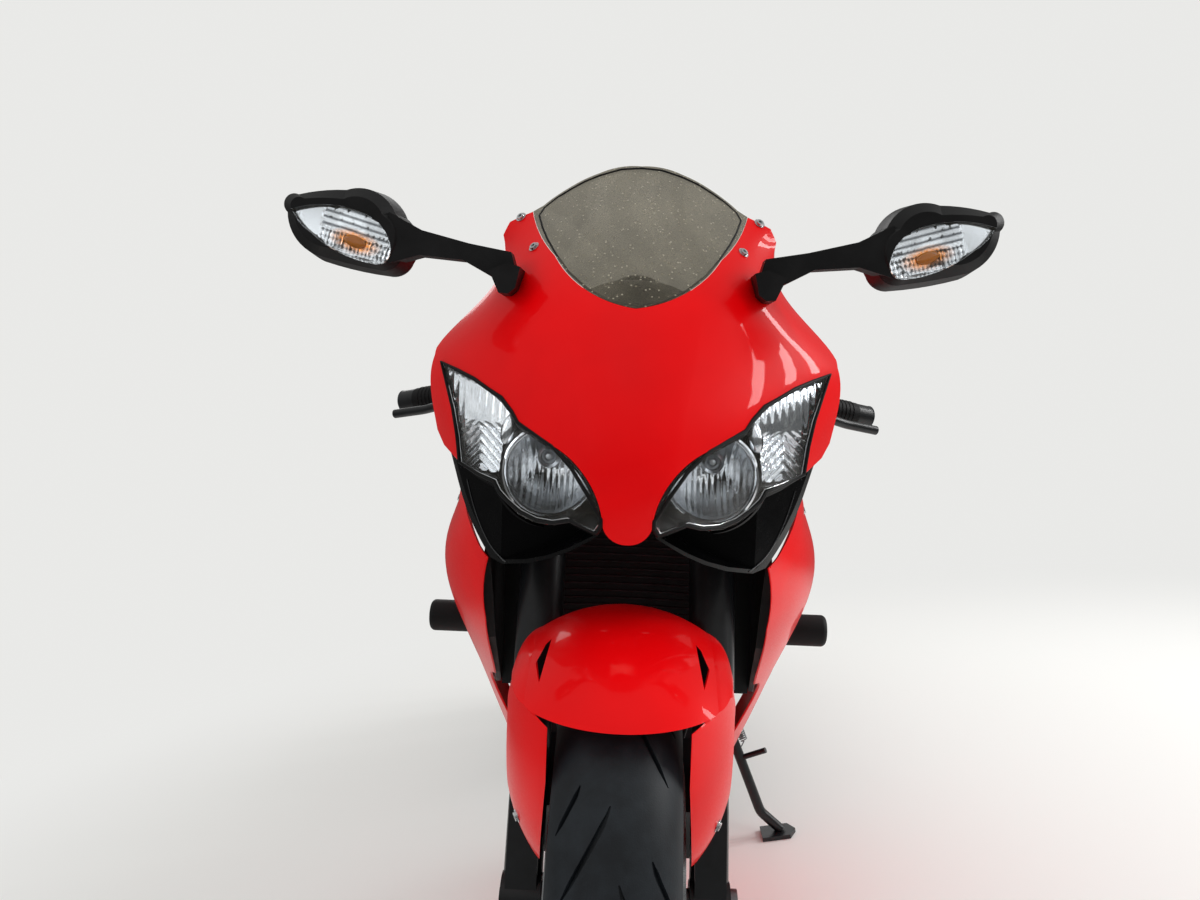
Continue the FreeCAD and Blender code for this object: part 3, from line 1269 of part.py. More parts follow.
def finish():
    """Leans every piece onto the stand, stands the lowest tyre on the floor, and writes the files."""
    lean = Rotation(Y_AXIS, S["lean"])
    turn = Placement(Vector(), lean)
    doc.recompute()
    for name, obj in pieces.items():
        obj.Placement = turn.multiply(obj.Placement)
    doc.recompute()
    bad = [o.Label for o in doc.Objects if "Invalid" in o.State or "Error" in o.State]
    if bad:
        raise RuntimeError(f"these objects failed: {bad}")
    whole = FreeCAD.BoundBox()
    for name, obj in pieces.items():
        shape = obj.Shape
        if shape.isNull() or not shape.isValid() or not shape.Solids:
            raise RuntimeError(f"{name} has no valid solid")
        whole.add(shape.optimalBoundingBox(False))
    shift = Placement(Vector(-whole.Center.x, -whole.Center.y, -whole.ZMin), Rotation())
    for name, obj in pieces.items():
        obj.Placement = shift.multiply(obj.Placement)
    doc.recompute()
    os.makedirs(FOLDER, exist_ok=True)
    for name, obj in pieces.items():
        obj.Shape.exportStep(f"{FOLDER}/{name}.step")
        print(name, len(obj.Shape.Solids), round(obj.Shape.Volume / 1000), "cm3")
    print("shift", shift.Base, "size", whole)


front = feature("frame", frame_spars())
motor = engine().cut(front.Shape)
feature("engine", motor)
covers = feature("engine_covers", [c.cut(motor) for c in engine_covers()])
feature("airbox", airbox().cut(motor).cut(front.Shape))
feature("radiator", radiator().cut(front.Shape).cut(motor))
feature("exhaust", exhaust().cut(motor))
cowl = feature("upper_cowl", upper_cowl())
feature("windscreen", windscreen())
feature("headlamp_lenses", [biggest(c.cut(cowl.Shape)) for c in lamp_lenses()])
feature("headlamp_housings", lamp_housings())
panels = side_cowls()
slider_bolts = cylinder(S["slider_puck_r"] + 2, Vector(-400, S["slider_y"], S["slider_z"]),
                        Vector(400, S["slider_y"], S["slider_z"]))
feature("inner_panels", [c.cut(front.Shape).cut(motor) for c in inner_panels()])
feature("side_cowls", [c.cut(slider_bolts) for c in panels])
feature("intake_ducts", intake_ducts(panels))
feature("belly_pan", belly_pan())
stay = feature("fairing_stay", fairing_stay())
feature("dash", dash().cut(stay.Shape))
housings, lamps, glasses = mirrors()
feature("mirror_housings", housings)
feature("mirror_indicators", lamps)
feature("mirror_glasses", glasses)
tank = body_loft(TANK_LEVELS)
cap = cylinder(46, Vector(0, 545, 960), Vector(0, 540, 992))
feature("fuel_tank", tank.cut(front.Shape).cut(pieces["airbox"].Shape).cut(motor))
feature("tank_cap", cap.cut(tank))
feature("rider_seat", body_loft(SEAT_LEVELS))
feature("pillion_seat", body_loft(PILLION_LEVELS))
tail = feature("tail_cowl", tail_cowl())
lamp_box = box(-100, 100, 1476.3, 1600, 880.3, 931.7)
feature("tail_lamp", body_loft(TAIL_LEVELS).common(lamp_box))
feature("subframe", [c.cut(tail.Shape).cut(front.Shape) for c in subframe()])
hanger = feature("rear_mudguard", rear_mudguard().cut(tail.Shape).cut(pieces["tail_lamp"].Shape))
stalks, pods = rear_indicators()
feature("rear_indicator_stalks", [biggest(c.cut(hanger.Shape)) for c in stalks])
feature("rear_indicator_lenses", pods)
feature("footrests", [c.cut(tail.Shape).cut(front.Shape) for c in footrests()])
feature("frame_sliders", [c.cut(motor).cut(covers.Shape).cut(front.Shape) for c in frame_sliders()])
feature("swingarm", swingarm())
feature("pivot_bolt", pivot_bolt())
feature("rear_shock", rear_shock())
feature("rear_hugger", rear_hugger().cut(pieces["swingarm"].Shape))
feature("rear_caliper", rear_caliper())
feature("chain", chain())
feature("drive_sprocket", drive_sprocket())
feature("side_stand", side_stand())
feature("fork_tubes", fork_tubes())
feature("fork_sliders", fork_sliders())
feature("yokes", yokes())
feature("handlebars", handlebars())
feature("grips", grips())
feature("controls", controls())
feature("front_mudguard", front_mudguard())
feature("front_calipers", front_calipers())
hose = brake_hoses()
feature("brake_hoses", [c for c in both(hose.cut(pieces["yokes"].Shape).cut(pieces["front_calipers"].Shape))])
axle_piece("front_axle", FRONT_AXLE.y, FRONT_AXLE.z, "axle_r", "axle_bore_r", "axle_len",
           [(18, -79.7, -69.5), (18, 69.5, 79.7), (20, 124.3, 132)])
axle_piece("rear_axle", REAR_AXLE.y, REAR_AXLE.z, "rear_axle_r", "rear_axle_bore_r", "rear_axle_len",
           [(24, 114.5, 128.7), (24, -117.7, -103.5), (22, 159.3, 172), (22, -172, -159.3)])
rim("front_rim", FRONT_AXLE, "front_rim_w", "hub_r", "front_hub_half", "front_hub_half", "axle_r", 5)
rim("rear_rim", REAR_AXLE, "rear_rim_w", "rear_hub_r", "rear_hub_left", "rear_hub_right", "rear_axle_r", 5)
tyre("front_tyre", FRONT_AXLE, "front_tyre_w", "front_tyre_r", "front_crown_drop", "front_rim_w")
tyre("rear_tyre", REAR_AXLE, "rear_tyre_w", "rear_tyre_r", "rear_crown_drop", "rear_rim_w")
front_discs()
rear_disc()
sprocket()
finish()
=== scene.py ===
import json
import math

import bmesh
import bpy
from mathutils import Matrix, Vector
from mathutils.bvhtree import BVHTree


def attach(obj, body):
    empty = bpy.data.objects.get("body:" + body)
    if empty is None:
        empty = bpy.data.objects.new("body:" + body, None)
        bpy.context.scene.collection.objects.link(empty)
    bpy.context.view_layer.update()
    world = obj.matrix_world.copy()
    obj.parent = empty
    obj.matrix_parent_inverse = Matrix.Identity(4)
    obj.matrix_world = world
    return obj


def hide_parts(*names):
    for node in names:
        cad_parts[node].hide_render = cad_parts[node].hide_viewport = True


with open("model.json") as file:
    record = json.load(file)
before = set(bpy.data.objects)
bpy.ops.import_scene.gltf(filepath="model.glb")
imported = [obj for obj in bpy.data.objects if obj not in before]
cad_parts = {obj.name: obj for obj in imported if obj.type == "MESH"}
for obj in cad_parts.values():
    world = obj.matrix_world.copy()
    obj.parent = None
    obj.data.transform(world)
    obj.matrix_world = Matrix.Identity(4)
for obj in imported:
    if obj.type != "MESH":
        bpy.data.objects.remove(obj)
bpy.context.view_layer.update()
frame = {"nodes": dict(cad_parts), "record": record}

print("frame loaded:", len(frame["nodes"]), "nodes")

# The bike was drawn upright, then leaned onto its side stand and moved over the middle of its floor box.
# Points in this file are millimetres on the upright bike: x to its left, y to its rear, z up.
bike = {
    "lean": math.radians(10.5),
    "rake": math.radians(23.3),
    "frontAxle": (0, 0, 300),
    "rearAxle": (0, 1410, 311),
    "beyond": 900,  # farther ahead and aside than any of it reaches
}
wheelJoint = next(j for j in frame["record"]["behaviour"]["joints"] if j["name"] == "front_wheel_spin")
leanTurn = Matrix.Rotation(bike["lean"], 4, "Y")
moved = Vector(wheelJoint["pos_m"]) - leanTurn @ (Vector(bike["frontAxle"]) * 0.001)
toRow = Matrix.Translation(moved) @ leanTurn @ Matrix.Scale(0.001, 4)


# A point of the bike, and a direction on it, as they are in the frame
def place(x, y, z):
    return toRow @ Vector((x, y, z))


def turnOnly(x, y, z):
    return (leanTurn @ Vector((x, y, z, 0))).to_3d()


def addObject(name, data):
    obj = bpy.data.objects.new(name, data)
    bpy.context.scene.collection.objects.link(obj)
    return obj


# Camera: where the photographer stood, solved from the bike's left and right pairs
shot = {
    "at": (8.1, -1074.0, 873.0),
    "yaw": math.radians(2.158),
    "pitch": math.radians(4.2145),
    "roll": math.radians(1.8915),
    "lens": 30.6,
    "sensor": 36.0,
    "clipStart": 0.05,
}


def addCamera():
    yaw, pitch, roll = shot["yaw"], shot["pitch"], shot["roll"]
    ahead = Vector((-math.sin(yaw) * math.cos(pitch), math.cos(yaw) * math.cos(pitch), -math.sin(pitch)))
    right = Vector((math.cos(yaw), math.sin(yaw), 0))
    up = right.cross(ahead)
    imageRight = right * math.cos(roll) + up * math.sin(roll)
    imageUp = up * math.cos(roll) - right * math.sin(roll)
    data = bpy.data.cameras.new("photoCamera")
    data.lens = shot["lens"]
    data.sensor_width = shot["sensor"]
    data.sensor_fit = "HORIZONTAL"
    data.clip_start = shot["clipStart"]
    camera = addObject("photoCamera", data)
    turn = Matrix((turnOnly(*imageRight), turnOnly(*imageUp), -turnOnly(*ahead))).transposed()
    camera.matrix_world = Matrix.Translation(place(*shot["at"])) @ turn.to_4x4()
    bpy.context.scene.camera = camera
    print("camera placed")


# Colours are written as sRGB hex and turned to linear here
def hexColour(text):
    values = [int(text[i:i + 2], 16) / 255 for i in (1, 3, 5)]
    return (*[v / 12.92 if v <= 0.04045 else ((v + 0.055) / 1.055) ** 2.4 for v in values], 1.0)


# Adds a node. Settings are its own properties, with a colour ramp's stops among them. An input takes a
# number, a hex colour, a socket, or a node for its first output, and is named, or numbered as in in0.
def addNode(material, kind, settings=None, **inputs):
    tree = material.node_tree
    node = tree.nodes.new("ShaderNode" + kind)
    for name, value in (settings or {}).items():
        if name == "stops":
            for element, (position, colour) in zip(node.color_ramp.elements, value):
                element.position = position
                element.color = hexColour(colour)
        else:
            setattr(node, name, value)
    for name, value in inputs.items():
        socket = node.inputs[int(name[2:]) if name.startswith("in") else name.replace("_", " ")]
        if isinstance(value, bpy.types.Node):
            tree.links.new(value.outputs[0], socket)
        elif isinstance(value, bpy.types.NodeSocket):
            tree.links.new(value, socket)
        else:
            socket.default_value = hexColour(value) if isinstance(value, str) else value
    return node


# A new material, and its Object coordinates: a pattern on them has a scale of 1000 over its cell in mm
def startMaterial(name):
    material = bpy.data.materials.new(name)
    material.use_nodes = True
    material.node_tree.nodes.clear()
    return material, addNode(material, "TexCoord").outputs["Object"]


def finishMaterial(material, shader, **inputs):
    addNode(material, "OutputMaterial", Surface=addNode(material, shader, None, **inputs))
    return material


# Sprayed red base under clear coat: a wet, even shine, with faint orange peel and road dust in the coat
lacquer = {
    "red": "#ee0309", "deep": "#df0207", "cloudMm": 140, "peelMm": 5, "peel": 0.03, "dustMm": 2.2,
    "roughness": 0.35, "baseShine": 0.05, "coat": 0.32, "coatRoughness": 0.03, "coatIor": 1.38,
}
# How large the clouds in a surface's tone are, and how many metres deep a grain is
texture = {"plasticCloudMm": 35, "vinylCloudMm": 50, "metalCloudMm": 25, "grainDeep": 0.0003}


# Two shades of one colour that run into each other in clouds
def cloudy(m, at, cellMm, detail, roughness, low, high, lowTo=0.3):
    cloud = addNode(m, "TexNoise", Vector=at, Scale=1000 / cellMm, Detail=detail, Roughness=roughness)
    return cloud, addNode(m, "ValToRGB", {"stops": ((lowTo, low), (0.7, high))}, Fac=cloud)


# A fine grain, and the bump that it makes
def grainy(m, at, cellMm, detail, strength):
    grit = addNode(m, "TexNoise", Vector=at, Scale=1000 / cellMm, Detail=detail)
    return grit, addNode(m, "Bump", Height=grit, Strength=strength, Distance=texture["grainDeep"])


def redLacquer():
    m, at = startMaterial("red_lacquer_on_abs")
    _, tint = cloudy(m, at, lacquer["cloudMm"], 3, 0.5, lacquer["deep"], lacquer["red"])
    dust = addNode(m, "TexNoise", Vector=at, Scale=1000 / lacquer["dustMm"], Detail=4, Roughness=0.7)
    film = addNode(m, "MapRange", Value=dust, From_Min=0.35, From_Max=0.75,
                   To_Min=lacquer["roughness"] - 0.05, To_Max=lacquer["roughness"] + 0.1)
    _, bump = grainy(m, at, lacquer["peelMm"], 1, lacquer["peel"])
    return finishMaterial(
        m, "BsdfPrincipled", Base_Color=tint, Roughness=film, Normal=bump,
        Specular_IOR_Level=lacquer["baseShine"], Coat_Weight=lacquer["coat"],
        Coat_Roughness=lacquer["coatRoughness"], Coat_IOR=lacquer["coatIor"])


# Injection-moulded plastic or rubber: a fine spark-eroded grain breaks its shine, and it dulls in patches
def moulded(name, low, high, roughness, grainMm=1.2, grain=0.25, coat=0.0, shine=0.3):
    m, at = startMaterial(name)
    cloud, tint = cloudy(m, at, texture["plasticCloudMm"], 4, 0.6, low, high, 0.35)
    worn = addNode(m, "MapRange", Value=cloud, From_Min=0.3, From_Max=0.75,
                   To_Min=roughness - 0.06, To_Max=roughness + 0.08)
    _, bump = grainy(m, at, grainMm, 2, grain)
    return finishMaterial(
        m, "BsdfPrincipled", Base_Color=tint, Roughness=worn, Normal=bump, Specular_IOR_Level=shine,
        Coat_Weight=coat, Coat_Roughness=0.08)


# Seat cover: embossed vinyl over foam, soft and dull, with the small creased cells of leather
vinyl = {"low": "#111112", "high": "#1c1c1e", "cellMm": 2.6, "crease": 0.35, "roughness": 0.58, "sheen": 0.1}


def seatVinyl():
    m, at = startMaterial("embossed_seat_vinyl")
    _, tint = cloudy(m, at, texture["vinylCloudMm"], 4, 0.6, vinyl["low"], vinyl["high"])
    cells = addNode(m, "TexVoronoi", {"feature": "DISTANCE_TO_EDGE"}, Vector=at,
                    Scale=1000 / vinyl["cellMm"])
    crease = addNode(m, "MapRange", Value=cells, From_Min=0.0, From_Max=0.12)
    bump = addNode(m, "Bump", Height=crease, Strength=vinyl["crease"], Distance=texture["grainDeep"])
    return finishMaterial(
        m, "BsdfPrincipled", Base_Color=tint, Roughness=vinyl["roughness"], Normal=bump,
        Sheen_Weight=vinyl["sheen"])


# Metal, cast, machined or coated: its grain scatters the highlight, and its tone shifts a little in clouds
def metal(name, low, high, roughness, grainMm=2.0, grain=0.15, metallic=1.0):
    m, at = startMaterial(name)
    _, tint = cloudy(m, at, texture["metalCloudMm"], 5, 0.65, low, high)
    grit, bump = grainy(m, at, grainMm, 3, grain)
    rough = addNode(m, "MapRange", Value=grit, From_Min=0.3, From_Max=0.7,
                    To_Min=max(0.01, roughness - 0.06), To_Max=roughness + 0.08)
    return finishMaterial(
        m, "BsdfPrincipled", Base_Color=tint, Roughness=rough, Metallic=metallic, Normal=bump)


# Metallised reflector: silver, with painted light in its bulb's amber near the bulb, and painted shade
# darkening its flutes, both by the piece's own attributes glow and fluteShade
reflector = {"silver": "#e6e9ec", "lit": "#f59a45", "fluteShade": "#54585c", "sparkleMm": 3, "glow": 1.6}


def warmReflector():
    m, at = startMaterial("amber_lit_reflector")
    # painted light: the bulb's amber is painted on near it, broken into sparkle specks
    nearBulb = addNode(m, "Attribute", {"attribute_name": "glow"}).outputs["Fac"]
    sparkle = addNode(m, "TexNoise", Vector=at, Scale=1000 / reflector["sparkleMm"], Detail=3, Roughness=0.7)
    glow = addNode(m, "Math", {"operation": "MULTIPLY"}, in0=nearBulb, in1=reflector["glow"])
    amount = addNode(m, "Math", {"operation": "MULTIPLY", "use_clamp": True}, in0=glow, in1=sparkle)
    lit = ((0.05, reflector["silver"]), (0.5, reflector["lit"]))
    tint = addNode(m, "ValToRGB", {"stops": lit}, Fac=amount)
    # painted shade: the flutes darken towards their deepest line
    inFlute = addNode(m, "Attribute", {"attribute_name": "fluteShade"}).outputs["Fac"]
    shade = addNode(m, "ValToRGB", {"stops": ((0.35, "#ffffff"), (1.0, reflector["fluteShade"]))}, Fac=inFlute)
    lined = addNode(m, "Mix", {"data_type": "RGBA", "blend_type": "MULTIPLY"}, in0=1.0, in6=tint, in7=shade)
    return finishMaterial(
        m, "BsdfPrincipled", Base_Color=lined.outputs[2], Roughness=0.12, Metallic=1.0)


# Clear moulded plastic: the background shows through a thin haze, which thickens in patches and specks
clear = {"ior": 1.2, "patchMm": 60, "speckMm": 7}


def clearPlastic(name, tint, haze, hazeColour="#d8d2c4", hazeMm=4):
    m, at = startMaterial(name)
    coarse = addNode(m, "TexNoise", Vector=at, Scale=1000 / clear["patchMm"], Detail=3)
    fine = addNode(m, "TexNoise", Vector=at, Scale=1000 / hazeMm, Detail=6, Roughness=0.8)
    both = addNode(m, "Math", {"operation": "MULTIPLY"}, in0=coarse, in1=fine)
    film = addNode(m, "MapRange", Value=both, From_Min=0.12, From_Max=0.42, To_Min=haze * 0.35,
                   To_Max=haze * 1.6)
    grit = addNode(m, "TexVoronoi", Vector=at, Scale=1000 / clear["speckMm"])
    specks = addNode(m, "MapRange", Value=grit, From_Min=0.12, From_Max=0.2, To_Min=haze * 4, To_Max=0.0)
    amount = addNode(m, "Math", {"operation": "ADD", "use_clamp": True}, in0=film, in1=specks)
    sheet = addNode(m, "BsdfPrincipled", Base_Color=tint, Roughness=0.0, Transmission_Weight=1.0,
                    IOR=clear["ior"])
    dust = addNode(m, "BsdfDiffuse", Color=hazeColour)
    return finishMaterial(m, "MixShader", Fac=amount, in1=sheet, in2=dust)


# Coloured lens, moulded acrylic or coated glass: clear deep colour, ribbed by prisms a few mm across
def prismLens(name, tint, prismMm, clearness=0.55):
    m, at = startMaterial(name)
    waves = addNode(m, "TexWave", {"bands_direction": "Z"}, Vector=at, Scale=1000 / prismMm / 20)
    bump = addNode(m, "Bump", Height=waves.outputs["Fac"], Strength=0.5, Distance=0.0008)
    return finishMaterial(
        m, "BsdfPrincipled", Base_Color=tint, Roughness=0.08, Transmission_Weight=clearness, IOR=1.49,
        Normal=bump)


# After a finish's name come its darker and its lighter shade, its roughness, its grain's size in mm and
# its grain's strength. A plastic may then have a coat and a shine, and a metal how metallic it is.
finishes = {
    "red_paint": redLacquer(),
    # Black ABS: matt from a rough mould, glossy from a polished one, and a lip that catches the light, its
    # grey a painted highlight
    "black_plastic": moulded("matt_black_abs", "#0d0d0e", "#161617", 0.5),
    "black_gloss": moulded("gloss_black_abs", "#020203", "#050506", 0.25, 4, 0.03, 0.05, 0.12),
    "black_edge": moulded("polished_black_edge", "#1c1d1f", "#2c2d30", 0.2, 4, 0.03, 1.0),
    # Rubber: blue-black and dull on the tyres, deeper and softer on the grips and seals
    "tyre": moulded("moulded_tyre_rubber", "#16191d", "#22272c", 0.48, 1.5, 0.35),
    "rubber": moulded("moulded_grip_rubber", "#0b0b0c", "#141415", 0.62, 1.0, 0.3),
    "seat_cover": seatVinyl(),
    # Polycarbonate: a smoked and dusty screen, and lamp covers that hardly show
    "screen": clearPlastic("dusty_smoked_polycarbonate", "#cdc7b8", 0.1, "#c9c2ae", 5),
    "lamp_glass": clearPlastic("hard_coated_polycarbonate", "#fbfdff", 0.015),
    # Aluminium vapour and silver: bright streaked reflections, dimmer on the bulb caps, sharp in the mirrors
    "lamp_metal": metal("vapour_aluminised_reflector", "#d3d6da", "#f2f4f6", 0.13, 6, 0.04),
    "lamp_dim": metal("aluminised_bulb_cap", "#ced2d6", "#e6e9ec", 0.4, 3, 0.05),
    "lamp_warm": warmReflector(),
    "mirror": metal("silvered_glass", "#dfe3e6", "#eef1f3", 0.02, 30, 0.0),
    # Lenses: red and amber right through, and a bulb whose coat is nearly solid
    "red_lens": prismLens("red_acrylic_lens", "#c00810", 4),
    "amber_lens": prismLens("amber_acrylic_lens", "#ff7a08", 3),
    "amber_bulb": prismLens("amber_coated_glass_bulb", "#ff9526", 3, 0.1),
    # Aluminium alloy: satin where it is anodised or machined, rough and dull where it is cast and painted
    "frame_alloy": metal("black_anodised_alloy", "#1b1c1f", "#26282b", 0.42),
    "engine_alloy": metal("sand_cast_crankcase_paint", "#232427", "#323337", 0.55, 1.5, 0.4, 0.7),
    "cover_alloy": metal("die_cast_engine_cover", "#3c3934", "#4e4a43", 0.45, 1.5, 0.3),
    "bare_alloy": metal("machined_alloy", "#9a9da0", "#b9bcbe", 0.28),
    "bare_alloy_dark": metal("grey_machined_alloy", "#3a3c3f", "#505357", 0.35),
    "black_metal": metal("powder_coated_alloy", "#0c0d0f", "#16181b", 0.34, 1.0, 0.15, 0.0),
    "core": metal("painted_radiator_core", "#08080a", "#121214", 0.5, 1.0, 0.4, 0.3),
    # Steel: warm where it was heated or oiled, cool and bright where it is plated, ground or polished
    "exhaust_steel": metal("heat_tinted_stainless", "#857a6b", "#a39a8c", 0.32, 2.5, 0.1),
    "chain_steel": metal("oiled_chain_steel", "#4b4a46", "#6a6862", 0.35, 2, 0.2),
    "steel": metal("zinc_plated_steel", "#7d7f81", "#9c9ea0", 0.38),
    "bright_steel": metal("polished_stainless_screw", "#c6c9cb", "#e0e2e4", 0.22),
    "disc_steel": metal("ground_stainless_disc", "#8f9193", "#b3b5b6", 0.3, 0.8, 0.1),
    # Printed card of the dial: even satin black under flat white marks
    "dial_face": moulded("printed_dial_card", "#0a0a0b", "#101012", 0.35),
    "dial_marks": metal("white_printed_marks", "#d8d8d4", "#e6e6e2", 0.5, 1, 0.0, 0.0),
}
finishes["red_plastic"] = finishes["red_paint"]
slotOf = {part["node"]: part["material_slot"] for part in frame["record"]["subparts"]}


def dressNodes():
    for node, obj in frame["nodes"].items():
        obj.data.materials.clear()
        obj.data.materials.append(finishes[slotOf[node]])
        obj.data.shade_smooth()
        obj.data.set_sharp_from_angle(angle=math.radians(28))
    print("nodes dressed")


# What a bmesh holds as a mesh; the bmesh is used up
def meshFrom(bm, name):
    mesh = bpy.data.meshes.new(name)
    bm.to_mesh(mesh)
    bm.free()
    return mesh


# An object's mesh as its modifiers leave it
def shapedMesh(obj):
    return bpy.data.meshes.new_from_object(obj.evaluated_get(bpy.context.evaluated_depsgraph_get()))


def onlyVerts(geom):
    return [g for g in geom if isinstance(g, bmesh.types.BMVert)]


# Every new piece is shaped in bike millimetres, then its mesh is put in the frame
def finishPiece(name, bm, finish, body="chassis", replaced=(), crease=35, closed=True,
                mirrored=False):
    if mirrored:
        mirrorAll(bm)
    bmesh.ops.remove_doubles(bm, verts=bm.verts, dist=0.01)
    if closed:
        bmesh.ops.recalc_face_normals(bm, faces=bm.faces)
    bmesh.ops.transform(bm, matrix=toRow, verts=bm.verts)
    mesh = meshFrom(bm, name)
    mesh.shade_smooth()
    mesh.set_sharp_from_angle(angle=math.radians(crease))
    mesh.materials.append(finishes[finish])
    piece = addObject(name, mesh)
    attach(piece, body)
    if replaced:
        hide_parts(*replaced)
    return piece


# The shape so far, copied to the bike's other side
def mirrorAll(bm):
    made = bmesh.ops.duplicate(bm, geom=bm.verts[:] + bm.edges[:] + bm.faces[:])["geom"]
    bmesh.ops.scale(bm, vec=(-1, 1, 1), verts=onlyVerts(made))
    bmesh.ops.reverse_faces(bm, faces=[g for g in made if isinstance(g, bmesh.types.BMFace)])


# The mesh of a CAD node as a merged copy in bike millimetres
def copyNode(node):
    bm = bmesh.new()
    bm.from_mesh(frame["nodes"][node].data)
    bmesh.ops.transform(bm, matrix=toRow.inverted(), verts=bm.verts)
    bmesh.ops.remove_doubles(bm, verts=bm.verts, dist=0.005)
    return bm


# Puts the middle of a shape at a point, with its z axis along a way
def alongWay(at, way, upAxis="Y"):
    return Matrix.Translation(at) @ way.to_track_quat("Z", upAxis).to_matrix().to_4x4()


def addRod(bm, a, b, radius, segments=16, tip=None):
    a, b = Vector(a), Vector(b)
    bmesh.ops.create_cone(bm, cap_ends=True, segments=segments, radius1=radius,
                          radius2=radius if tip is None else tip, depth=(b - a).length,
                          matrix=alongWay((a + b) / 2, (b - a).normalized()))


# A rod across the bike, reaching as far to both sides of a point
def addPin(bm, at, reach, radius, segments):
    addRod(bm, at - Vector((reach, 0, 0)), at + Vector((reach, 0, 0)), radius, segments)


# A profile of (distance out, distance along) pairs turned once round an axis
def addTurned(bm, profile, at, way, steps=32):
    axis = Vector(way).normalized()
    out = axis.orthogonal().normalized()
    verts = [bm.verts.new(Vector(at) + out * r + axis * along) for r, along in profile]
    edges = [bm.edges.new(pair) for pair in zip(verts, verts[1:])]
    bmesh.ops.spin(bm, geom=verts + edges, cent=at, axis=axis, angle=2 * math.pi, steps=steps,
                   use_merge=True)


# A short prism with a hole sunk into its outer end: a screw's socket or a nut's bore
def addHead(bm, at, way, sides, radius, topRadius, height, wall, sunk):
    at, way = Vector(at), Vector(way).normalized()
    made = bmesh.ops.create_cone(bm, cap_ends=True, segments=sides, radius1=radius, radius2=topRadius,
                                 depth=height, matrix=alongWay(at + way * height / 2, way))["verts"]
    top = max({f for v in made for f in v.link_faces}, key=lambda f: (f.calc_center_median() - at).dot(way))
    bmesh.ops.inset_region(bm, faces=[top], thickness=wall)
    pushed = bmesh.ops.extrude_face_region(bm, geom=[top])["geom"]
    bmesh.ops.translate(bm, vec=-way * height * sunk, verts=onlyVerts(pushed))
    bmesh.ops.delete(bm, geom=[top], context="FACES_ONLY")


def addScrew(bm, at, way, radius, height):
    addHead(bm, at, way, sides=18, radius=radius, topRadius=radius * 0.9, height=height, wall=radius * 0.42,
            sunk=0.6)


def addHexNut(bm, at, way, across, height, bore):
    corner = across / 1.732  # a hexagon's corner lies this far from its middle
    addHead(bm, at, way, sides=6, radius=corner, topRadius=corner, height=height, wall=across / 2 - bore,
            sunk=0.5)


# An egg-shaped body: half sizes along x, y and z, then turned about y
def addBulge(bm, at, halfSize, tilt):
    verts = bmesh.ops.create_uvsphere(bm, u_segments=28, v_segments=16, radius=1)["verts"]
    bmesh.ops.scale(bm, vec=halfSize, verts=verts)
    bmesh.ops.rotate(bm, cent=(0, 0, 0), matrix=Matrix.Rotation(tilt, 3, "Y"), verts=verts)
    bmesh.ops.translate(bm, vec=at, verts=verts)


# A block whose edges along its own y axis are rounded, then put in place by a matrix
def addBlock(bm, size, radius, segments, matrix):
    made = bmesh.ops.create_cube(bm, size=1)["verts"]
    bmesh.ops.scale(bm, vec=size, verts=made)
    ends = [e for e in {e for v in made for e in v.link_edges}
            if abs((e.verts[0].co - e.verts[1].co).y) > 1]
    rounded = bmesh.ops.bevel(bm, geom=ends, offset=radius, segments=segments, affect="EDGES", profile=0.5,
                              material=-1)["verts"]
    block = {v for v in made if v.is_valid} | set(rounded)
    bmesh.ops.transform(bm, matrix=matrix, verts=list(block))


# A round bead along points, taken from a curve of that thickness
def addBead(bm, points, radius, closedLoop=False, smooth=False, sides=2):
    data = bpy.data.curves.new("beadPath", "CURVE")
    data.dimensions = "3D"
    data.bevel_depth = radius
    data.bevel_resolution = sides
    data.use_fill_caps = True
    spline = data.splines.new("NURBS" if smooth else "POLY")
    spline.points.add(len(points) - 1)
    for spot, point in zip(spline.points, points):
        spot.co = (*point, 1)
    spline.use_cyclic_u = closedLoop
    if smooth:
        spline.order_u = 3
        spline.use_endpoint_u = not closedLoop
        data.resolution_u = 6
    holder = bpy.data.objects.new("beadPath", data)
    mesh = bpy.data.meshes.new_from_object(holder)
    bm.from_mesh(mesh)
    bpy.data.objects.remove(holder)
    bpy.data.curves.remove(data)
    bpy.data.meshes.remove(mesh)


# Where a straight look from a point first meets a CAD node, and the way its surface faces there
surfaces = {}


def meet(node, start, way):
    if node not in surfaces:
        surfaces[node] = BVHTree.FromObject(frame["nodes"][node], bpy.context.evaluated_depsgraph_get())
    hit, normal, _, _ = surfaces[node].ray_cast(place(*start), turnOnly(*way))
    if hit is None:
        return None, None
    return toRow.inverted() @ hit, (leanTurn.inverted() @ normal.to_4d()).to_3d().normalized()


def fromFront(node, x, z):
    return meet(node, (x, -bike["beyond"], z), (0, 1, 0))


# A line drawn from the front, laid on a node: each point takes the depth that is found where it looks
def laidOn(node, points, looks, lift):
    found = [fromFront(node, x, z)[0] for x, z in looks]
    return [(x, hit.y + lift, z) for (x, z), hit in zip(points, found) if hit is not None]


# A drawn outline is moved inwards by about the same distance everywhere
def drawnIn(points, middle, by):
    out = []
    for x, z in points:
        far = math.hypot(x - middle[0], z - middle[1])
        out.append((middle[0] + (x - middle[0]) * (far - by) / far,
                    middle[1] + (z - middle[1]) * (far - by) / far))
    return out


# One closed shape cut out of another; both are used up, and what is left is a new bmesh
def cutAway(bm, cutter, name):
    bmesh.ops.recalc_face_normals(cutter, faces=cutter.faces)
    whole = addObject(name, meshFrom(bm, name))
    tool = addObject(name + "Tool", meshFrom(cutter, name + "Tool"))
    cut = whole.modifiers.new("cut", "BOOLEAN")
    cut.operation = "DIFFERENCE"
    cut.object = tool
    cut.solver = "EXACT"
    cut.use_self = True
    bpy.context.view_layer.update()
    done = shapedMesh(whole)
    left = bmesh.new()
    left.from_mesh(done)
    used = (whole.data, tool.data, done)
    for obj in (whole, tool):
        bpy.data.objects.remove(obj)
    for mesh in used:
        bpy.data.meshes.remove(mesh)
    return left


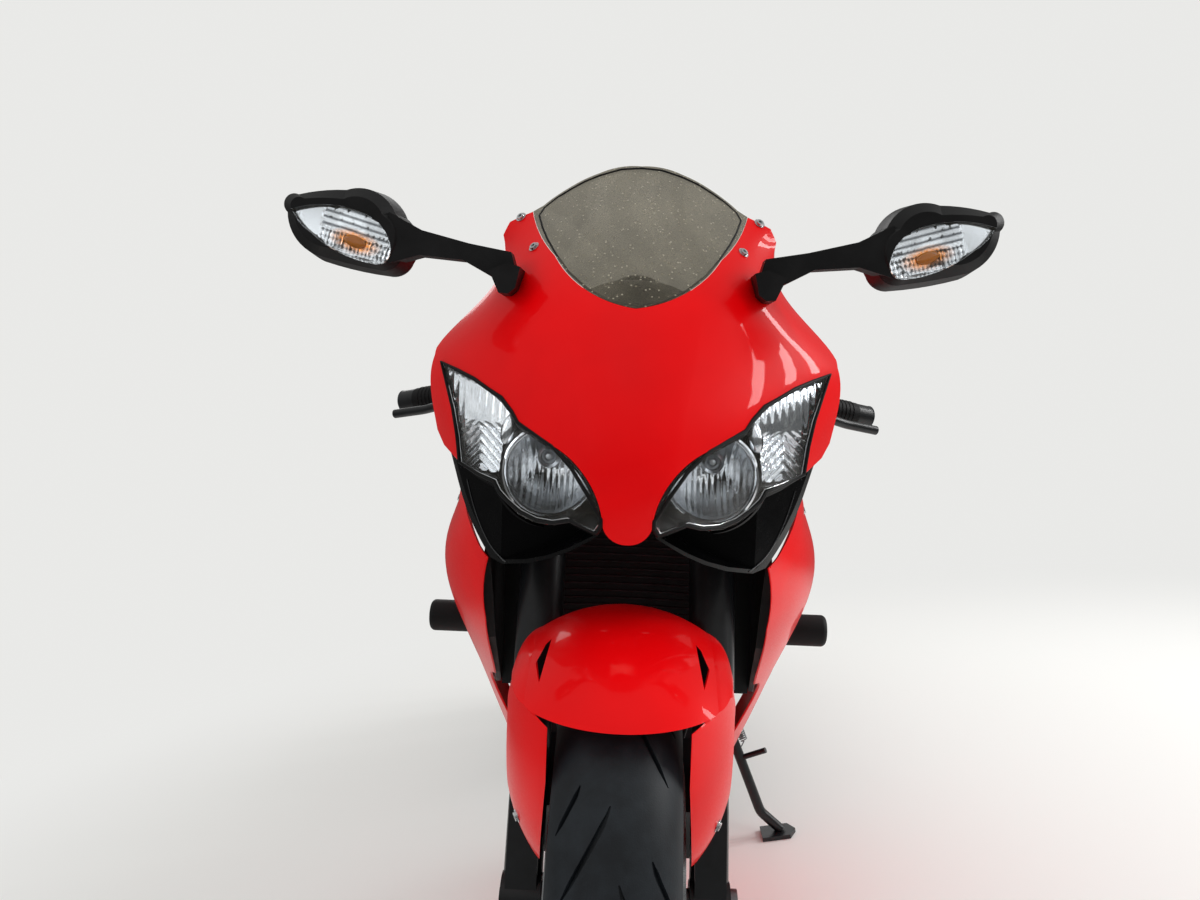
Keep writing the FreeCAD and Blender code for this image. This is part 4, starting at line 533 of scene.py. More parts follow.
# A point at an angle round a wheel, in the plane at x
def roundWheel(axle, x, radius, turn):
    return Vector((x, axle[1] + radius * math.cos(turn), axle[2] + radius * math.sin(turn)))


# Tyres: a crown arc with sidewalls, and tread grooves cut into it on both sides in turn. A groove runs
# from one distance across the crown to another, over a sweep in degrees round the tyre.
tyres = {
    "front": {"centre": bike["frontAxle"], "half": 60, "radius": 300, "drop": 38, "rim": 44.5, "pairs": 11,
              "long": (5, 50, 15.5), "short": (34, 60, 8), "grooveWide": 5.4, "grooveDeep": 5.0,
              "phase": (9.9, -2.2)},
    "rear": {"centre": bike["rearAxle"], "half": 95, "radius": 311, "drop": 60, "rim": 76, "pairs": 11,
             "long": (14, 78, 18), "short": (52, 98, 11), "grooveWide": 6.0, "grooveDeep": 5.5,
             "phase": (8.2, -8.2)},
}
tyreWall = {"seat": 215.3, "flange": 229, "belly": 232, "rimGap": 0.4, "overRim": 5, "slack": 3.2,
            "shoulder": (5, 0.6), "crownHalfSteps": 11, "turnSteps": 120}
groove = {"cuts": 9, "bend": 1.25, "tipWide": 0.25, "widens": 3.4, "tipDeep": 0.35, "deepens": 3,
          "above": 3, "shortLag": 4}


def crownCurve(t):
    return (t["half"] ** 2 + t["drop"] ** 2) / (2 * t["drop"])


def crownPoint(t, turn, along, height):
    curve = crownCurve(t)
    across = along / curve
    radial = t["radius"] - curve + math.cos(across) * (curve + height)
    x, y, z = t["centre"]
    return Vector((x + math.sin(across) * (curve + height), y - radial * math.cos(turn),
                   z + radial * math.sin(turn)))


def addGroove(cutter, t, side, turnStart, run):
    start, end, sweep = run
    before = len(cutter.verts)
    made = bmesh.ops.create_cube(cutter, size=1)["verts"]
    lengthwise = [e for e in {e for v in made for e in v.link_edges}
                  if abs((e.verts[0].co - e.verts[1].co).x) > 0.5]
    bmesh.ops.subdivide_edges(cutter, edges=lengthwise, cuts=groove["cuts"])
    for v in list(cutter.verts)[before:]:
        u, across, up = v.co.x + 0.5, v.co.y, v.co.z
        tip = min(u, 1 - u)
        taper = min(1, groove["tipWide"] + groove["widens"] * tip)
        acrossStep = (end - start) * groove["bend"] * max(u, 0.02) ** (groove["bend"] - 1)
        roundStep = -math.radians(sweep) * t["radius"]
        offset = across * taper * t["grooveWide"] / math.hypot(acrossStep, roundStep)
        path = start + (end - start) * u ** groove["bend"] - offset * roundStep
        turn = turnStart - math.radians(sweep) * u + offset * acrossStep / t["radius"]
        deep = t["grooveDeep"] * min(1, groove["tipDeep"] + groove["deepens"] * tip)
        v.co = crownPoint(t, turn, side * path, groove["above"] if up > 0 else -deep)


def buildTyre(which):
    t = tyres[which]
    curve, edge, belly = crownCurve(t), t["radius"] - t["drop"], tyreWall["belly"]
    reach, steps = math.asin(t["half"] / curve), tyreWall["crownHalfSteps"]
    crown = [(t["radius"] - curve + curve * math.cos(a), curve * math.sin(a))
             for a in [reach * (k / steps - 1) for k in range(2 * steps + 1)]]
    inward, under = tyreWall["shoulder"]
    onRim = t["rim"] - tyreWall["rimGap"]
    flank = [(tyreWall["seat"], onRim), (tyreWall["flange"], onRim), (belly, t["rim"] + tyreWall["overRim"]),
             ((belly + edge) / 2, t["half"] - tyreWall["slack"]), (edge - inward, t["half"] - under)]
    profile = [(r, -x) for r, x in flank] + crown + flank[::-1] + [(tyreWall["seat"], -onRim)]
    bm = bmesh.new()
    addTurned(bm, profile, t["centre"], (1, 0, 0), tyreWall["turnSteps"])
    bmesh.ops.remove_doubles(bm, verts=bm.verts, dist=0.01)
    bmesh.ops.recalc_face_normals(bm, faces=bm.faces)
    cutter = bmesh.new()
    step = 2 * math.pi / t["pairs"]
    for k in range(t["pairs"]):
        for side, phase in zip((-1, 1), t["phase"]):
            addGroove(cutter, t, side, k * step + math.radians(phase), t["long"])
            addGroove(cutter, t, side, k * step + math.radians(phase + groove["shortLag"]), t["short"])
    bm = cutAway(bm, cutter, which + "TyreBlank")
    finishPiece(which + "Tyre", bm, "tyre", body=which + "_wheel", replaced=(which + "_tyre",), crease=30)


# Brake discs: the solid's own shape drilled through its swept band, with floating buttons
discs = {
    "frontDiscs": {"node": "front_discs", "body": "front_wheel", "axle": bike["frontAxle"],
                   "planes": (-66, 66), "rows": ((131, 0), (141, 4), (151, 8)), "buttonsAt": 112},
    "rearDisc": {"node": "rear_disc", "body": "rear_wheel", "axle": bike["rearAxle"],
                 "planes": (-100,), "rows": ((85, 0), (100, 6)), "buttonsAt": 64},
}
drilling = {"hole": 3.2, "reach": 5, "perTurn": 30}
buttons = {"perTurn": 10, "radius": 6.5, "tip": 5.2, "from": 2.4, "to": 3.6}


def drilledDisc(name):
    disc = discs[name]
    cutter = bmesh.new()
    for plane in disc["planes"]:
        for r, lag in disc["rows"]:
            for k in range(drilling["perTurn"]):
                at = roundWheel(disc["axle"], plane, r, math.radians(k * 360 / drilling["perTurn"] + lag))
                addPin(cutter, at, drilling["reach"], drilling["hole"], segments=10)
    bm = cutAway(copyNode(disc["node"]), cutter, name + "Blank")
    for plane in disc["planes"]:
        for k in range(buttons["perTurn"]):
            turn = math.radians((k + 0.5) * 360 / buttons["perTurn"])
            at = roundWheel(disc["axle"], plane, disc["buttonsAt"], turn)
            for side in (-1, 1):
                out = Vector((side, 0, 0))
                addRod(bm, at + out * buttons["from"], at + out * buttons["to"], buttons["radius"],
                       tip=buttons["tip"])
    finishPiece(name, bm, "disc_steel", body=disc["body"], replaced=(disc["node"],), crease=30)


# Headlamps: a black shell, a fluted bowl with its bulb cap, a stepped outer reflector and a seal.
# The bowl's profile is shares of its radius and depths, and its flutes end short of its round rim. The
# chamber has a left and a right at each height, and starts out lastBack deep.
lamp = {
    "bowlAt": (86, 4, 768), "bowlRadius": 46, "fluteMm": 6.5, "fluteDeep": 1.1, "fluted": 0.97,
    "bowlThick": 0.6, "bowlParts": 3,
    "bowl": ((1.0, 0), (0.985, 7), (0.93, 15), (0.85, 24), (0.75, 33), (0.62, 41), (0.5, 46.5), (0.38, 50.5),
             (0.26, 53.2), (0.14, 54.6), (0.02, 55)),
    "rim": ((0.3, 6), (0.3, -1.5), (2, -3), (4.2, -1.5), (4.6, 6), (0.3, 6)),
    "capAt": (88, 4, 783),
    "cap": ((12.5, 50), (12.5, 22), (11.2, 17), (8.6, 15), (8.2, 17), (8.2, 30), (5, 31), (4.6, 20), (3, 18),
            (0.02, 17.5)),
    "chamber": ((762, 143, 194), (776, 141, 197), (800, 137, 202), (816, 130, 204), (826, 128, 205),
                (838, 140, 207), (850, 156, 211), (862, 182, 216), (872, 205, 222)),
    "chamberBack": 13, "chamberLean": 8, "chamberThick": 0.8, "glassThick": 3, "lastBack": 40,
    "chevronTop": 818, "chevronFade": 10, "chevronFold": 168, "chevronRise": 0.9, "chevronMm": 11,
    "chevronDeep": 12, "fanMm": 9, "fanDeep": 1.6,
    "bridgeAt": (130, 812), "bridgeBack": 12, "bridgeSize": (8.5, 8, 17), "bridgeTilt": math.radians(-14),
    "edge": ((228, 883), (203, 874), (178, 865), (159, 855), (140, 846), (131, 841), (126, 832), (118, 821),
             (98, 811), (77, 800), (56, 780), (40, 757), (25, 732), (25, 724), (29, 717), (43, 720),
             (57, 726), (74, 720), (93, 719), (113, 724), (129, 733), (141, 742), (148, 753), (170, 758),
             (199, 767), (202, 800), (208, 830), (217, 856)),
    "middle": (120, 780), "lookIn": 2.5,
    # name, finish, how far in, how proud, how thick, and the points of the edge that it doesn't follow
    "beads": (("headlampSeals", "rubber", 1.0, 0.3, 2.3, None),
              ("headlampLips", "lamp_metal", 4.4, 0.2, 0.6, (3, 13))),
}


# How far back a point behind the lens lies; beside the lens it is as deep as the point before it
def lampBack(x, z, behind):
    point = fromFront("headlamp_lenses", x, z)[0]
    if point is not None:
        lamp["lastBack"] = point.y + lamp["glassThick"] + behind
    return lamp["lastBack"]


def buildBowls():
    r, centre, parts = lamp["bowlRadius"], Vector(lamp["bowlAt"]), lamp["bowlParts"]
    profile = []
    for (ra, ya), (rb, yb) in zip(lamp["bowl"], lamp["bowl"][1:]):
        profile += [(r * (ra + (rb - ra) * k / parts), ya + (yb - ya) * k / parts) for k in range(parts)]
    lastShare, deepest = lamp["bowl"][-1]
    bm = bmesh.new()
    addTurned(bm, profile + [(r * lastShare, deepest)], centre, (0, 1, 0), steps=150)
    bmesh.ops.remove_doubles(bm, verts=bm.verts, dist=0.01)
    for v in bm.verts:
        out = v.co - centre
        if math.hypot(out.x, out.z) < r * lamp["fluted"]:
            v.co.y -= lamp["fluteDeep"] * abs(math.sin(math.pi * out.x / lamp["fluteMm"]))
    bmesh.ops.recalc_face_normals(bm, faces=bm.faces)
    bmesh.ops.solidify(bm, geom=bm.faces[:], thickness=lamp["bowlThick"])
    addTurned(bm, [(r + out, along) for out, along in lamp["rim"]], centre, (0, 1, 0), steps=96)
    finishPiece("headlampBowls", bm, "lamp_metal", crease=50, mirrored=True)
    bm = bmesh.new()
    addTurned(bm, lamp["cap"], lamp["capAt"], (0, 1, 0), steps=40)
    finishPiece("headlampBulbCaps", bm, "lamp_dim", crease=40, mirrored=True)


# The chamber has folded chevrons in its lower part and narrow fans above them
def buildChambers():
    rows = lamp["chamber"]
    bm = bmesh.new()
    for v in bmesh.ops.create_grid(bm, x_segments=70, y_segments=116, size=0.5)["verts"]:
        u, w = v.co.x + 0.5, (v.co.y + 0.5) * (len(rows) - 1)
        k = min(int(w), len(rows) - 2)
        z, left, right = [a + (b - a) * (w - k) for a, b in zip(rows[k], rows[k + 1])]
        x = left + (right - left) * u
        low = max(0, min(1, (lamp["chevronTop"] - z) / lamp["chevronFade"]))
        fold = (z + abs(x - lamp["chevronFold"]) * lamp["chevronRise"]) / lamp["chevronMm"]
        chevron = abs(fold % 1 - 0.5) * lamp["chevronDeep"] * low
        fan = abs(math.sin(math.pi * x / lamp["fanMm"])) * lamp["fanDeep"] * (1 - low)
        v.co = (x, lampBack(x, z, lamp["chamberBack"] - lamp["chamberLean"] * u) + chevron + fan, z)
    bmesh.ops.recalc_face_normals(bm, faces=bm.faces)
    bmesh.ops.solidify(bm, geom=bm.faces[:], thickness=lamp["chamberThick"])
    finishPiece("headlampChambers", bm, "lamp_metal", crease=25, mirrored=True)
    bm = bmesh.new()
    x, z = lamp["bridgeAt"]
    addBulge(bm, Vector((x, lampBack(x, z, lamp["bridgeBack"]), z)), lamp["bridgeSize"], lamp["bridgeTilt"])
    finishPiece("headlampBridges", bm, "lamp_metal", mirrored=True)


def buildHeadlamps():
    finishPiece("headlampShells", copyNode("headlamp_housings"), "black_plastic",
                replaced=("headlamp_housings",))
    buildBowls()
    buildChambers()
    for name, finish, inset, proud, thick, gap in lamp["beads"]:
        edge = lamp["edge"] if gap is None else lamp["edge"][gap[1]:] + lamp["edge"][:gap[0]]
        looks = drawnIn(edge, lamp["middle"], max(inset, lamp["lookIn"]))
        bm = bmesh.new()
        addBead(bm, laidOn("headlamp_lenses", drawnIn(edge, lamp["middle"], inset), looks, -proud), thick,
                gap is None)
        finishPiece(name, bm, finish, crease=60, mirrored=True)
    print("headlamps built")


# Intakes: a polished edge round each mouth's outer lip, lighter grey than the duct as a painted highlight
intakeEdge = {
    "line": ((58.5, 671), (86.5, 664), (114, 660.5), (135, 661.5), (151, 669), (167, 690), (182, 721),
             (189.5, 747)),
    "thick": 0.8, "proud": 0.5,
}


def buildIntakeEdges():
    bm = bmesh.new()
    line = laidOn("intake_ducts", intakeEdge["line"], intakeEdge["line"], -intakeEdge["proud"])
    addBead(bm, line, intakeEdge["thick"], smooth=True)
    finishPiece("intakeEdges", bm, "black_edge", crease=60, mirrored=True)
    print("intake edges built")


# Mirrors: a clear cover over a ribbed reflector with an amber bulb, in each housing's front. Ribs cross
# the upper part, small cells the lower part, and the outer end is smooth.
mirrorLamp = {
    "bulbAt": (314, 58.4, 1011), "bulbSize": (13, 3.4, 6.5), "reflectorY": 60.2, "coverThick": 1.2,
    "tilt": math.radians(16), "ribMm": 7.0, "ribDeep": 3.0, "ribsAbove": 4, "cellMm": 4.5, "cellDeep": 1.3,
    "smoothFrom": 42, "smoothDeep": 0.4, "cutsEachWay": 22, "glowLong": 34, "glowHigh": 15,
    "ahead": 0.25,  # how far a face of the lens has to point forwards to belong to the cover
}


# Where a point lies across its rib or cell: nought in the middle, half at either edge
def folded(distance, size):
    return abs((distance / size) % 1 - 0.5)


def buildMirrorLamps():
    ml = mirrorLamp
    cover = copyNode("mirror_indicators")
    bmesh.ops.delete(cover, geom=[f for f in cover.faces if f.normal.y > -ml["ahead"]], context="FACES")
    plate = cover.copy()
    bmesh.ops.solidify(cover, geom=cover.faces[:], thickness=ml["coverThick"])
    finishPiece("mirrorLampCovers", cover, "lamp_glass", replaced=("mirror_indicators",))
    bx, _, bz = ml["bulbAt"]
    ribWay = Vector((-math.sin(ml["tilt"]), 0, math.cos(ml["tilt"])))
    alongRib = Vector((math.cos(ml["tilt"]), 0, math.sin(ml["tilt"])))
    for side in (-1, 1):
        flip = Vector((side, 1, 1))
        for way, cell in ((ribWay, ml["ribMm"] / 2), (alongRib, ml["cellMm"] / 2)):
            for k in range(-ml["cutsEachWay"], ml["cutsEachWay"] + 1):
                at = Vector((bx, 0, bz)) + way * cell * k
                bmesh.ops.bisect_plane(plate, geom=plate.verts[:] + plate.edges[:] + plate.faces[:],
                                       plane_co=at * flip, plane_no=way * flip)
    glow = plate.verts.layers.float.new("glow")
    fluteShade = plate.verts.layers.float.new("fluteShade")
    for v in plate.verts:
        out = Vector((abs(v.co.x) - bx, 0, v.co.z - bz))
        across, along = out.dot(ribWay), out.dot(alongRib)
        rib, cell = folded(across, ml["ribMm"]), folded(along, ml["cellMm"])
        facet = rib * ml["ribDeep"] if across > ml["ribsAbove"] else (rib + cell) * ml["cellDeep"]
        deepest = ml["ribDeep"] / 2 if across > ml["ribsAbove"] else ml["cellDeep"]
        if along > ml["smoothFrom"]:
            facet = ml["smoothDeep"]
        v.co.y = ml["reflectorY"] - facet
        # glow is painted amber light, fading away from the bulb; fluteShade is painted shade, most in a
        # flute's deepest line and none on the smooth end
        v[glow] = max(0, 1 - math.hypot(along / ml["glowLong"], across / ml["glowHigh"]))
        v[fluteShade] = 0 if along > ml["smoothFrom"] else 1 - facet / deepest
    finishPiece("mirrorLampReflectors", plate, "lamp_warm", crease=12, closed=False)
    bm = bmesh.new()
    addBulge(bm, ml["bulbAt"], ml["bulbSize"], -ml["tilt"])
    finishPiece("mirrorLampBulbs", bm, "amber_bulb", mirrored=True)
    print("mirror lamps built")


# Screws with washers on the panels, each seated where a look from its side meets the panel
panelScrews = {
    "fromFront": (("upper_cowl", 142, 1058), ("upper_cowl", 119, 1016), ("front_mudguard", 99, 434)),
    "fromSide": (("side_cowls", 205, 742), ("side_cowls", 300, 700), ("side_cowls", 470, 610),
                 ("side_cowls", 610, 450), ("side_cowls", 650, 300), ("side_cowls", 420, 190),
                 ("tail_cowl", 900, 742), ("tail_cowl", 1180, 846), ("tail_cowl", 1390, 900),
                 ("rear_mudguard", 1560, 815)),
    "onFork": ("front_mudguard",),
    "radius": 5.0, "height": 2.2, "washer": 6.6, "washerUnder": 0.5, "washerTop": 0.9,
}


def buildPanelScrews():
    ps = panelScrews
    places = {"chassis": [], "fork": []}
    for node, x, z in ps["fromFront"]:
        for side in (-1, 1):
            places["fork" if node in ps["onFork"] else "chassis"].append(fromFront(node, side * x, z))
    for node, y, z in ps["fromSide"]:
        for side in (-1, 1):
            places["chassis"].append(meet(node, (side * bike["beyond"], y, z), (-side, 0, 0)))
    for body, found in places.items():
        bm = bmesh.new()
        for at, facing in found:
            if at is not None:
                top = at + facing * ps["washerTop"]
                addRod(bm, at - facing * ps["washerUnder"], top, ps["washer"], segments=24)
                addScrew(bm, top, facing, ps["radius"], ps["height"])
        finishPiece(body + "PanelScrews", bm, "bright_steel", body)
    print("panel screws set")


# Screen edge: a thin dark bead round the clear sheet, found by looking a little inside its outline
screenEdge = {
    "half": ((0, 944), (26, 949), (52, 963), (74, 982), (91, 1004), (104, 1024), (113, 1042), (120, 1060),
             (115, 1071.2), (101, 1085.2), (86, 1096.2), (68, 1107.2), (50, 1115.2), (25, 1123.2),
             (0, 1125.2)),
    "middle": (0, 1040), "lookIn": 3, "narrow": 0.992, "topLower": 1.2, "behind": 1.4, "thick": 1.3,
}


def buildScreenEdge():
    se = screenEdge
    loop = se["half"] + tuple((-x, z) for x, z in reversed(se["half"][1:-1]))
    drawn = [(x * se["narrow"], z - (se["topLower"] if z > se["middle"][1] else 0)) for x, z in loop]
    bm = bmesh.new()
    addBead(bm, laidOn("windscreen", drawn, drawnIn(loop, se["middle"], se["lookIn"]), se["behind"]),
            se["thick"], True)
    finishPiece("screenEdge", bm, "rubber", crease=60)
    print("screen edge built")


# Instruments on the pod's rear slope: a round dial with ticks and a needle, and two dark displays
dials = {
    "at": (0, 148.5, 960.5), "facing": (0, 1, 1), "upward": (0, -1, 1), "sunk": 0.2, "radius": 33,
    "bezel": ((1, 0), (4, 0), (4, 4), (1.5, 5.5), (0.5, 3), (1, 0)),
    "displayAt": 62, "displayRadius": 19, "displayHigh": 2.5, "card": 0.8, "cardHigh": 0.9,
    "ticks": 26, "from": 215, "to": -40, "tickHigh": 1.2, "longTick": (7, 0.9), "shortTick": (4, 0.5),
    "longEvery": 5, "needleHigh": 1.8, "needle": 1.1, "needleShort": 6, "hub": 4, "hubHigh": 3,
}


# A point of the dial: its angle, its distance from the middle, and its height above the back
def dialPoint(degrees, out, high):
    a = math.radians(degrees)
    way = Vector((math.cos(a), 0, 0)) + Vector(dials["upward"]).normalized() * math.sin(a)
    return Vector(dials["at"]) + way * out + Vector(dials["facing"]).normalized() * (high - dials["sunk"])


def buildDials():
    d, r = dials, dials["radius"]
    bm = bmesh.new()
    bezel = [(r + out, along) for out, along in d["bezel"]]
    addTurned(bm, bezel, dialPoint(0, 0, 0), d["facing"], steps=48)
    for side in (-1, 1):
        at = side * d["displayAt"]
        addRod(bm, dialPoint(0, at, 0), dialPoint(0, at, d["displayHigh"]), d["displayRadius"], segments=4)
    finishPiece("dialBezel", bm, "black_gloss")
    bm = bmesh.new()
    addRod(bm, dialPoint(0, 0, 0), dialPoint(0, 0, d["cardHigh"]), r + d["card"], segments=48)
    finishPiece("dialFace", bm, "dial_face")
    bm = bmesh.new()
    for k in range(d["ticks"]):
        turn = d["from"] + (d["to"] - d["from"]) * k / (d["ticks"] - 1)
        long, thick = d["shortTick"] if k % d["longEvery"] else d["longTick"]
        inner, outer = dialPoint(turn, r - long, d["tickHigh"]), dialPoint(turn, r - 1, d["tickHigh"])
        addRod(bm, inner, outer, thick, segments=6)
    turn, high = d["from"], d["needleHigh"]
    tip = dialPoint(turn, r - d["needleShort"], high)
    addRod(bm, dialPoint(turn, 0, high), tip, d["needle"], segments=8)
    addRod(bm, dialPoint(0, 0, d["cardHigh"]), dialPoint(0, 0, d["hubHigh"]), d["hub"], segments=20)
    finishPiece("dialMarks", bm, "dial_marks")
    print("dials built")


# Radiator: flat tubes across the core, following its bow
core = {"rows": 24, "low": 446, "high": 684, "wide": 292, "tubeHigh": 2.2, "proud": 1.1, "thick": 1.0}


def buildRadiatorTubes():
    bm = bmesh.new()
    for k in range(core["rows"]):
        z = core["low"] + (core["high"] - core["low"]) * k / (core["rows"] - 1)
        for v in bmesh.ops.create_grid(bm, x_segments=14, y_segments=1, size=0.5)["verts"]:
            x = v.co.x * core["wide"]
            v.co = (x, fromFront("radiator", x, z)[0].y - core["proud"], z + v.co.y * core["tubeHigh"])
    bmesh.ops.solidify(bm, geom=bm.faces[:], thickness=core["thick"])
    finishPiece("radiatorTubes", bm, "bare_alloy_dark", crease=40)
    print("radiator tubes built")


# Chain: outer and inner links round both sprockets
chainRun = {
    "x": 110, "drive": (770, 345), "driveR": 42, "wheel": bike["rearAxle"][1:], "wheelR": 106,
    "pitch": 15.875, "innerPlate": 5.4, "outerPlate": 7.6, "plateHigh": 12.2, "plateThick": 1.9,
    "pastPins": 9, "plateRound": 4.6, "pin": 2.9, "pinReach": 9.2, "roller": 4.6, "rollerReach": 4.2,
}


# The middles of the pins: along the upper run, round the wheel, back along the lower run, round the drive
def chainPoints():
    c = chainRun
    a, b = Vector(c["drive"]), Vector(c["wheel"])
    gap = (b - a).length
    along = (b - a) / gap
    square = Vector((-along.y, along.x))
    lean = math.asin((c["wheelR"] - c["driveR"]) / gap)
    up = square * math.cos(lean) - along * math.sin(lean)
    down = -square * math.cos(lean) - along * math.sin(lean)
    run = gap * math.cos(lean)
    wheelArc, driveArc = c["wheelR"] * (math.pi + 2 * lean), c["driveR"] * (math.pi - 2 * lean)
    total = 2 * run + wheelArc + driveArc
    count = 2 * round(total / c["pitch"] / 2)
    spots = []
    for k in range(count):
        s = k * total / count
        if s < run:
            at = (a + up * c["driveR"]).lerp(b + up * c["wheelR"], s / run)
        elif s < run + wheelArc:
            at = b + Matrix.Rotation(-(s - run) / c["wheelR"], 2) @ (up * c["wheelR"])
        elif s < 2 * run + wheelArc:
            at = (b + down * c["wheelR"]).lerp(a + down * c["driveR"], (s - run - wheelArc) / run)
        else:
            at = a + Matrix.Rotation(-(s - 2 * run - wheelArc) / c["driveR"], 2) @ (down * c["driveR"])
        spots.append(Vector((c["x"], at.x, at.y)))
    return spots


def buildChain():
    c, spots = chainRun, chainPoints()
    plates, rollers = bmesh.new(), bmesh.new()
    for k, here in enumerate(spots):
        there = spots[(k + 1) % len(spots)]
        out = c["outerPlate"] if k % 2 else c["innerPlate"]
        way = there - here
        size = (c["plateHigh"], c["plateThick"], way.length + c["pastPins"])
        for side in (-1, 1):
            middle = (here + there) / 2 + Vector((side * out, 0, 0))
            addBlock(plates, size, c["plateRound"], segments=2, matrix=alongWay(middle, way, "X"))
        addPin(rollers, here, c["pinReach"], c["pin"], segments=8)
        addPin(rollers, here, c["rollerReach"], c["roller"], segments=10)
    finishPiece("chainPlates", plates, "chain_steel", replaced=("chain",), crease=30)
    finishPiece("chainPins", rollers, "steel", crease=30)
    print("chain built:", len(spots), "links")


# Seat nose: a black moulded block that closes the gap between the tank and the seat and its cowl
seatNose = {"blocks": (((0, 788, 740), (152, 27, 92), 26), ((0, 778.4, 798), (124, 6, 34), 10))}


def buildSeatNose():
    bm = bmesh.new()
    for at, size, radius in seatNose["blocks"]:
        addBlock(bm, size, radius, segments=6, matrix=Matrix.Translation(at))
    finishPiece("seatNose", bm, "black_plastic")
    print("seat nose built")


# Seats: the solid's shape remeshed, blown up a little by cloth simulation, then piped along its edge
seats = {
    "voxelMm": 6, "shrinkMm": 2.0, "capMm": 5, "pressure": 3.0, "quality": 4, "frames": 16, "smooths": 3,
    "fill": 0.85, "welt": 2.0, "weltDrop": 17, "weltEnds": 22, "weltPoints": 15, "topAt": 30, "above": 2000,
}


# The welt follows the cover's edge on both sides: a look down finds the pad's top, and a look from the
# side finds its flank a little below that
def addWelt(pad, name):
    skin = BVHTree.FromBMesh(pad)
    low = min(v.co.y for v in pad.verts) + seats["weltEnds"]
    high = max(v.co.y for v in pad.verts) - seats["weltEnds"]
    bm = bmesh.new()
    for side in (-1, 1):
        line = []
        for k in range(seats["weltPoints"]):
            y = low + (high - low) * k / (seats["weltPoints"] - 1)
            top = skin.ray_cast(Vector((side * seats["topAt"], y, seats["above"])), Vector((0, 0, -1)))[0]
            if top is not None:
                outside = Vector((side * bike["beyond"], y, top.z - seats["weltDrop"]))
                hit = skin.ray_cast(outside, Vector((-side, 0, 0)))[0]
                if hit is not None:
                    line.append(hit)
        addBead(bm, line, seats["welt"], smooth=True)
    finishPiece(name, bm, "seat_cover", crease=60)


# Moves every point of the pad inwards, so that the cloth has room to swell
def shrinkPad(pad):
    bm = bmesh.new()
    bm.from_mesh(pad.data)
    bm.normal_update()
    for v in bm.verts:
        v.co -= v.normal * seats["shrinkMm"] / 1000
    bm.to_mesh(pad.data)
    bm.free()


def inflatePad(pad):
    cloth = pad.modifiers.new("cover", "CLOTH")
    cloth.settings.use_pressure = True
    cloth.settings.uniform_pressure_force = seats["pressure"]
    cloth.settings.effector_weights.gravity = 0
    cloth.settings.quality = seats["quality"]
    cloth.point_cache.frame_end = seats["frames"]
    for f in range(1, seats["frames"] + 1):
        bpy.context.scene.frame_set(f)
    pad.data = shapedMesh(pad)
    pad.modifiers.clear()
    bpy.context.scene.frame_set(1)


def buildSeat(node, name):
    bm = copyNode(node)
    bmesh.ops.transform(bm, matrix=toRow, verts=bm.verts)
    pad = addObject(name, meshFrom(bm, name))
    remesh = pad.modifiers.new("skin", "REMESH")
    remesh.mode = "VOXEL"
    remesh.voxel_size = seats["voxelMm"] / 1000
    pad.data = shapedMesh(pad)
    pad.modifiers.clear()
    shrinkPad(pad)
    start = [v.co.copy() for v in pad.data.vertices]
    inflatePad(pad)
    down = turnOnly(0, 0, -1)
    furthest = seats["capMm"] / 1000
    for v, old in zip(pad.data.vertices, start):
        swell = v.co - old
        if swell.length > furthest:
            swell = swell.normalized() * furthest
        if swell.dot(down) > 0:  # it never sinks into the pan under it
            swell -= down * swell.dot(down)
        v.co = old + swell
    bm = bmesh.new()
    bm.from_mesh(pad.data)
    for _ in range(seats["smooths"]):
        bmesh.ops.smooth_vert(bm, verts=bm.verts, factor=0.5, use_axis_x=True, use_axis_y=True,
                              use_axis_z=True)
    bmesh.ops.transform(bm, matrix=toRow.inverted(), verts=bm.verts)
    addWelt(bm, name + "Welt")
    old = pad.data
    bpy.data.objects.remove(pad)
    bpy.data.meshes.remove(old)
    piece = finishPiece(name, bm, "seat_cover", replaced=(node,), crease=60)
    print(name, "padded")


# Small fittings: screw rings, the tank's cap, nuts, caliper pistons and bolts, and tyre valves.
# A ring has its middle, facing, radius, count, screw radius, screw height and turn; the last is the cap's.
fittings = {
    "rings": (((-112, 680, 345), (-1, 0, 0), 98, 9, 5, 7, 0.2),
              ((112, 560, 360), (1, 0, 0), 84, 8, 5, 7, 0.3),
              ((-149.8, 680, 345), (-1, 0, 0), 52, 5, 4, 3, 0),
              ((0, 540.2, 991), (0, -0.156, 0.988), 38, 7, 3.2, 2, 0)),
    "capAt": (0, 540, 992), "capFacing": (0, -5, 32),
    "capLock": ((22, 0), (22, 5), (20, 6.5), (9, 6.5), (8, 5), (0.02, 5)),
    "capFlange": ((46.5, -1), (46.5, 2.6), (44, 4), (32, 4), (30.5, 2.6), (30.5, -1), (46.5, -1)),
    # place on the left side, across flats, height, bore: the rear axle's and the swingarm pivot's
    "nuts": (((172, *bike["rearAxle"][1:]), 30, 9, 9), ((142, 846, 362), 26, 8, 8)),
    "caliperAngles": (12, 42), "caliperX": 92, "caliperReach": 143, "boltReach": 166.2, "bolt": (4.6, 5),
    "piston": ((17, -1), (17, 2.5), (15, 4.5), (6, 5), (5, 3.8), (0.02, 3.8)),
    "valve": ((3.2, 0), (3.2, 10), (2.6, 12), (2.6, 30), (3.4, 31), (3.4, 39), (2.2, 41), (0.02, 41)),
    "valveAhead": 206,
}


def ringOfScrews(bm, centre, way, radius, count, size, height, lag):
    way = Vector(way).normalized()
    a = way.orthogonal().normalized()
    b = way.cross(a)
    for k in range(count):
        turn = 2 * math.pi * k / count + lag
        at = Vector(centre) + a * radius * math.cos(turn) + b * radius * math.sin(turn)
        addScrew(bm, at, way, size, height)


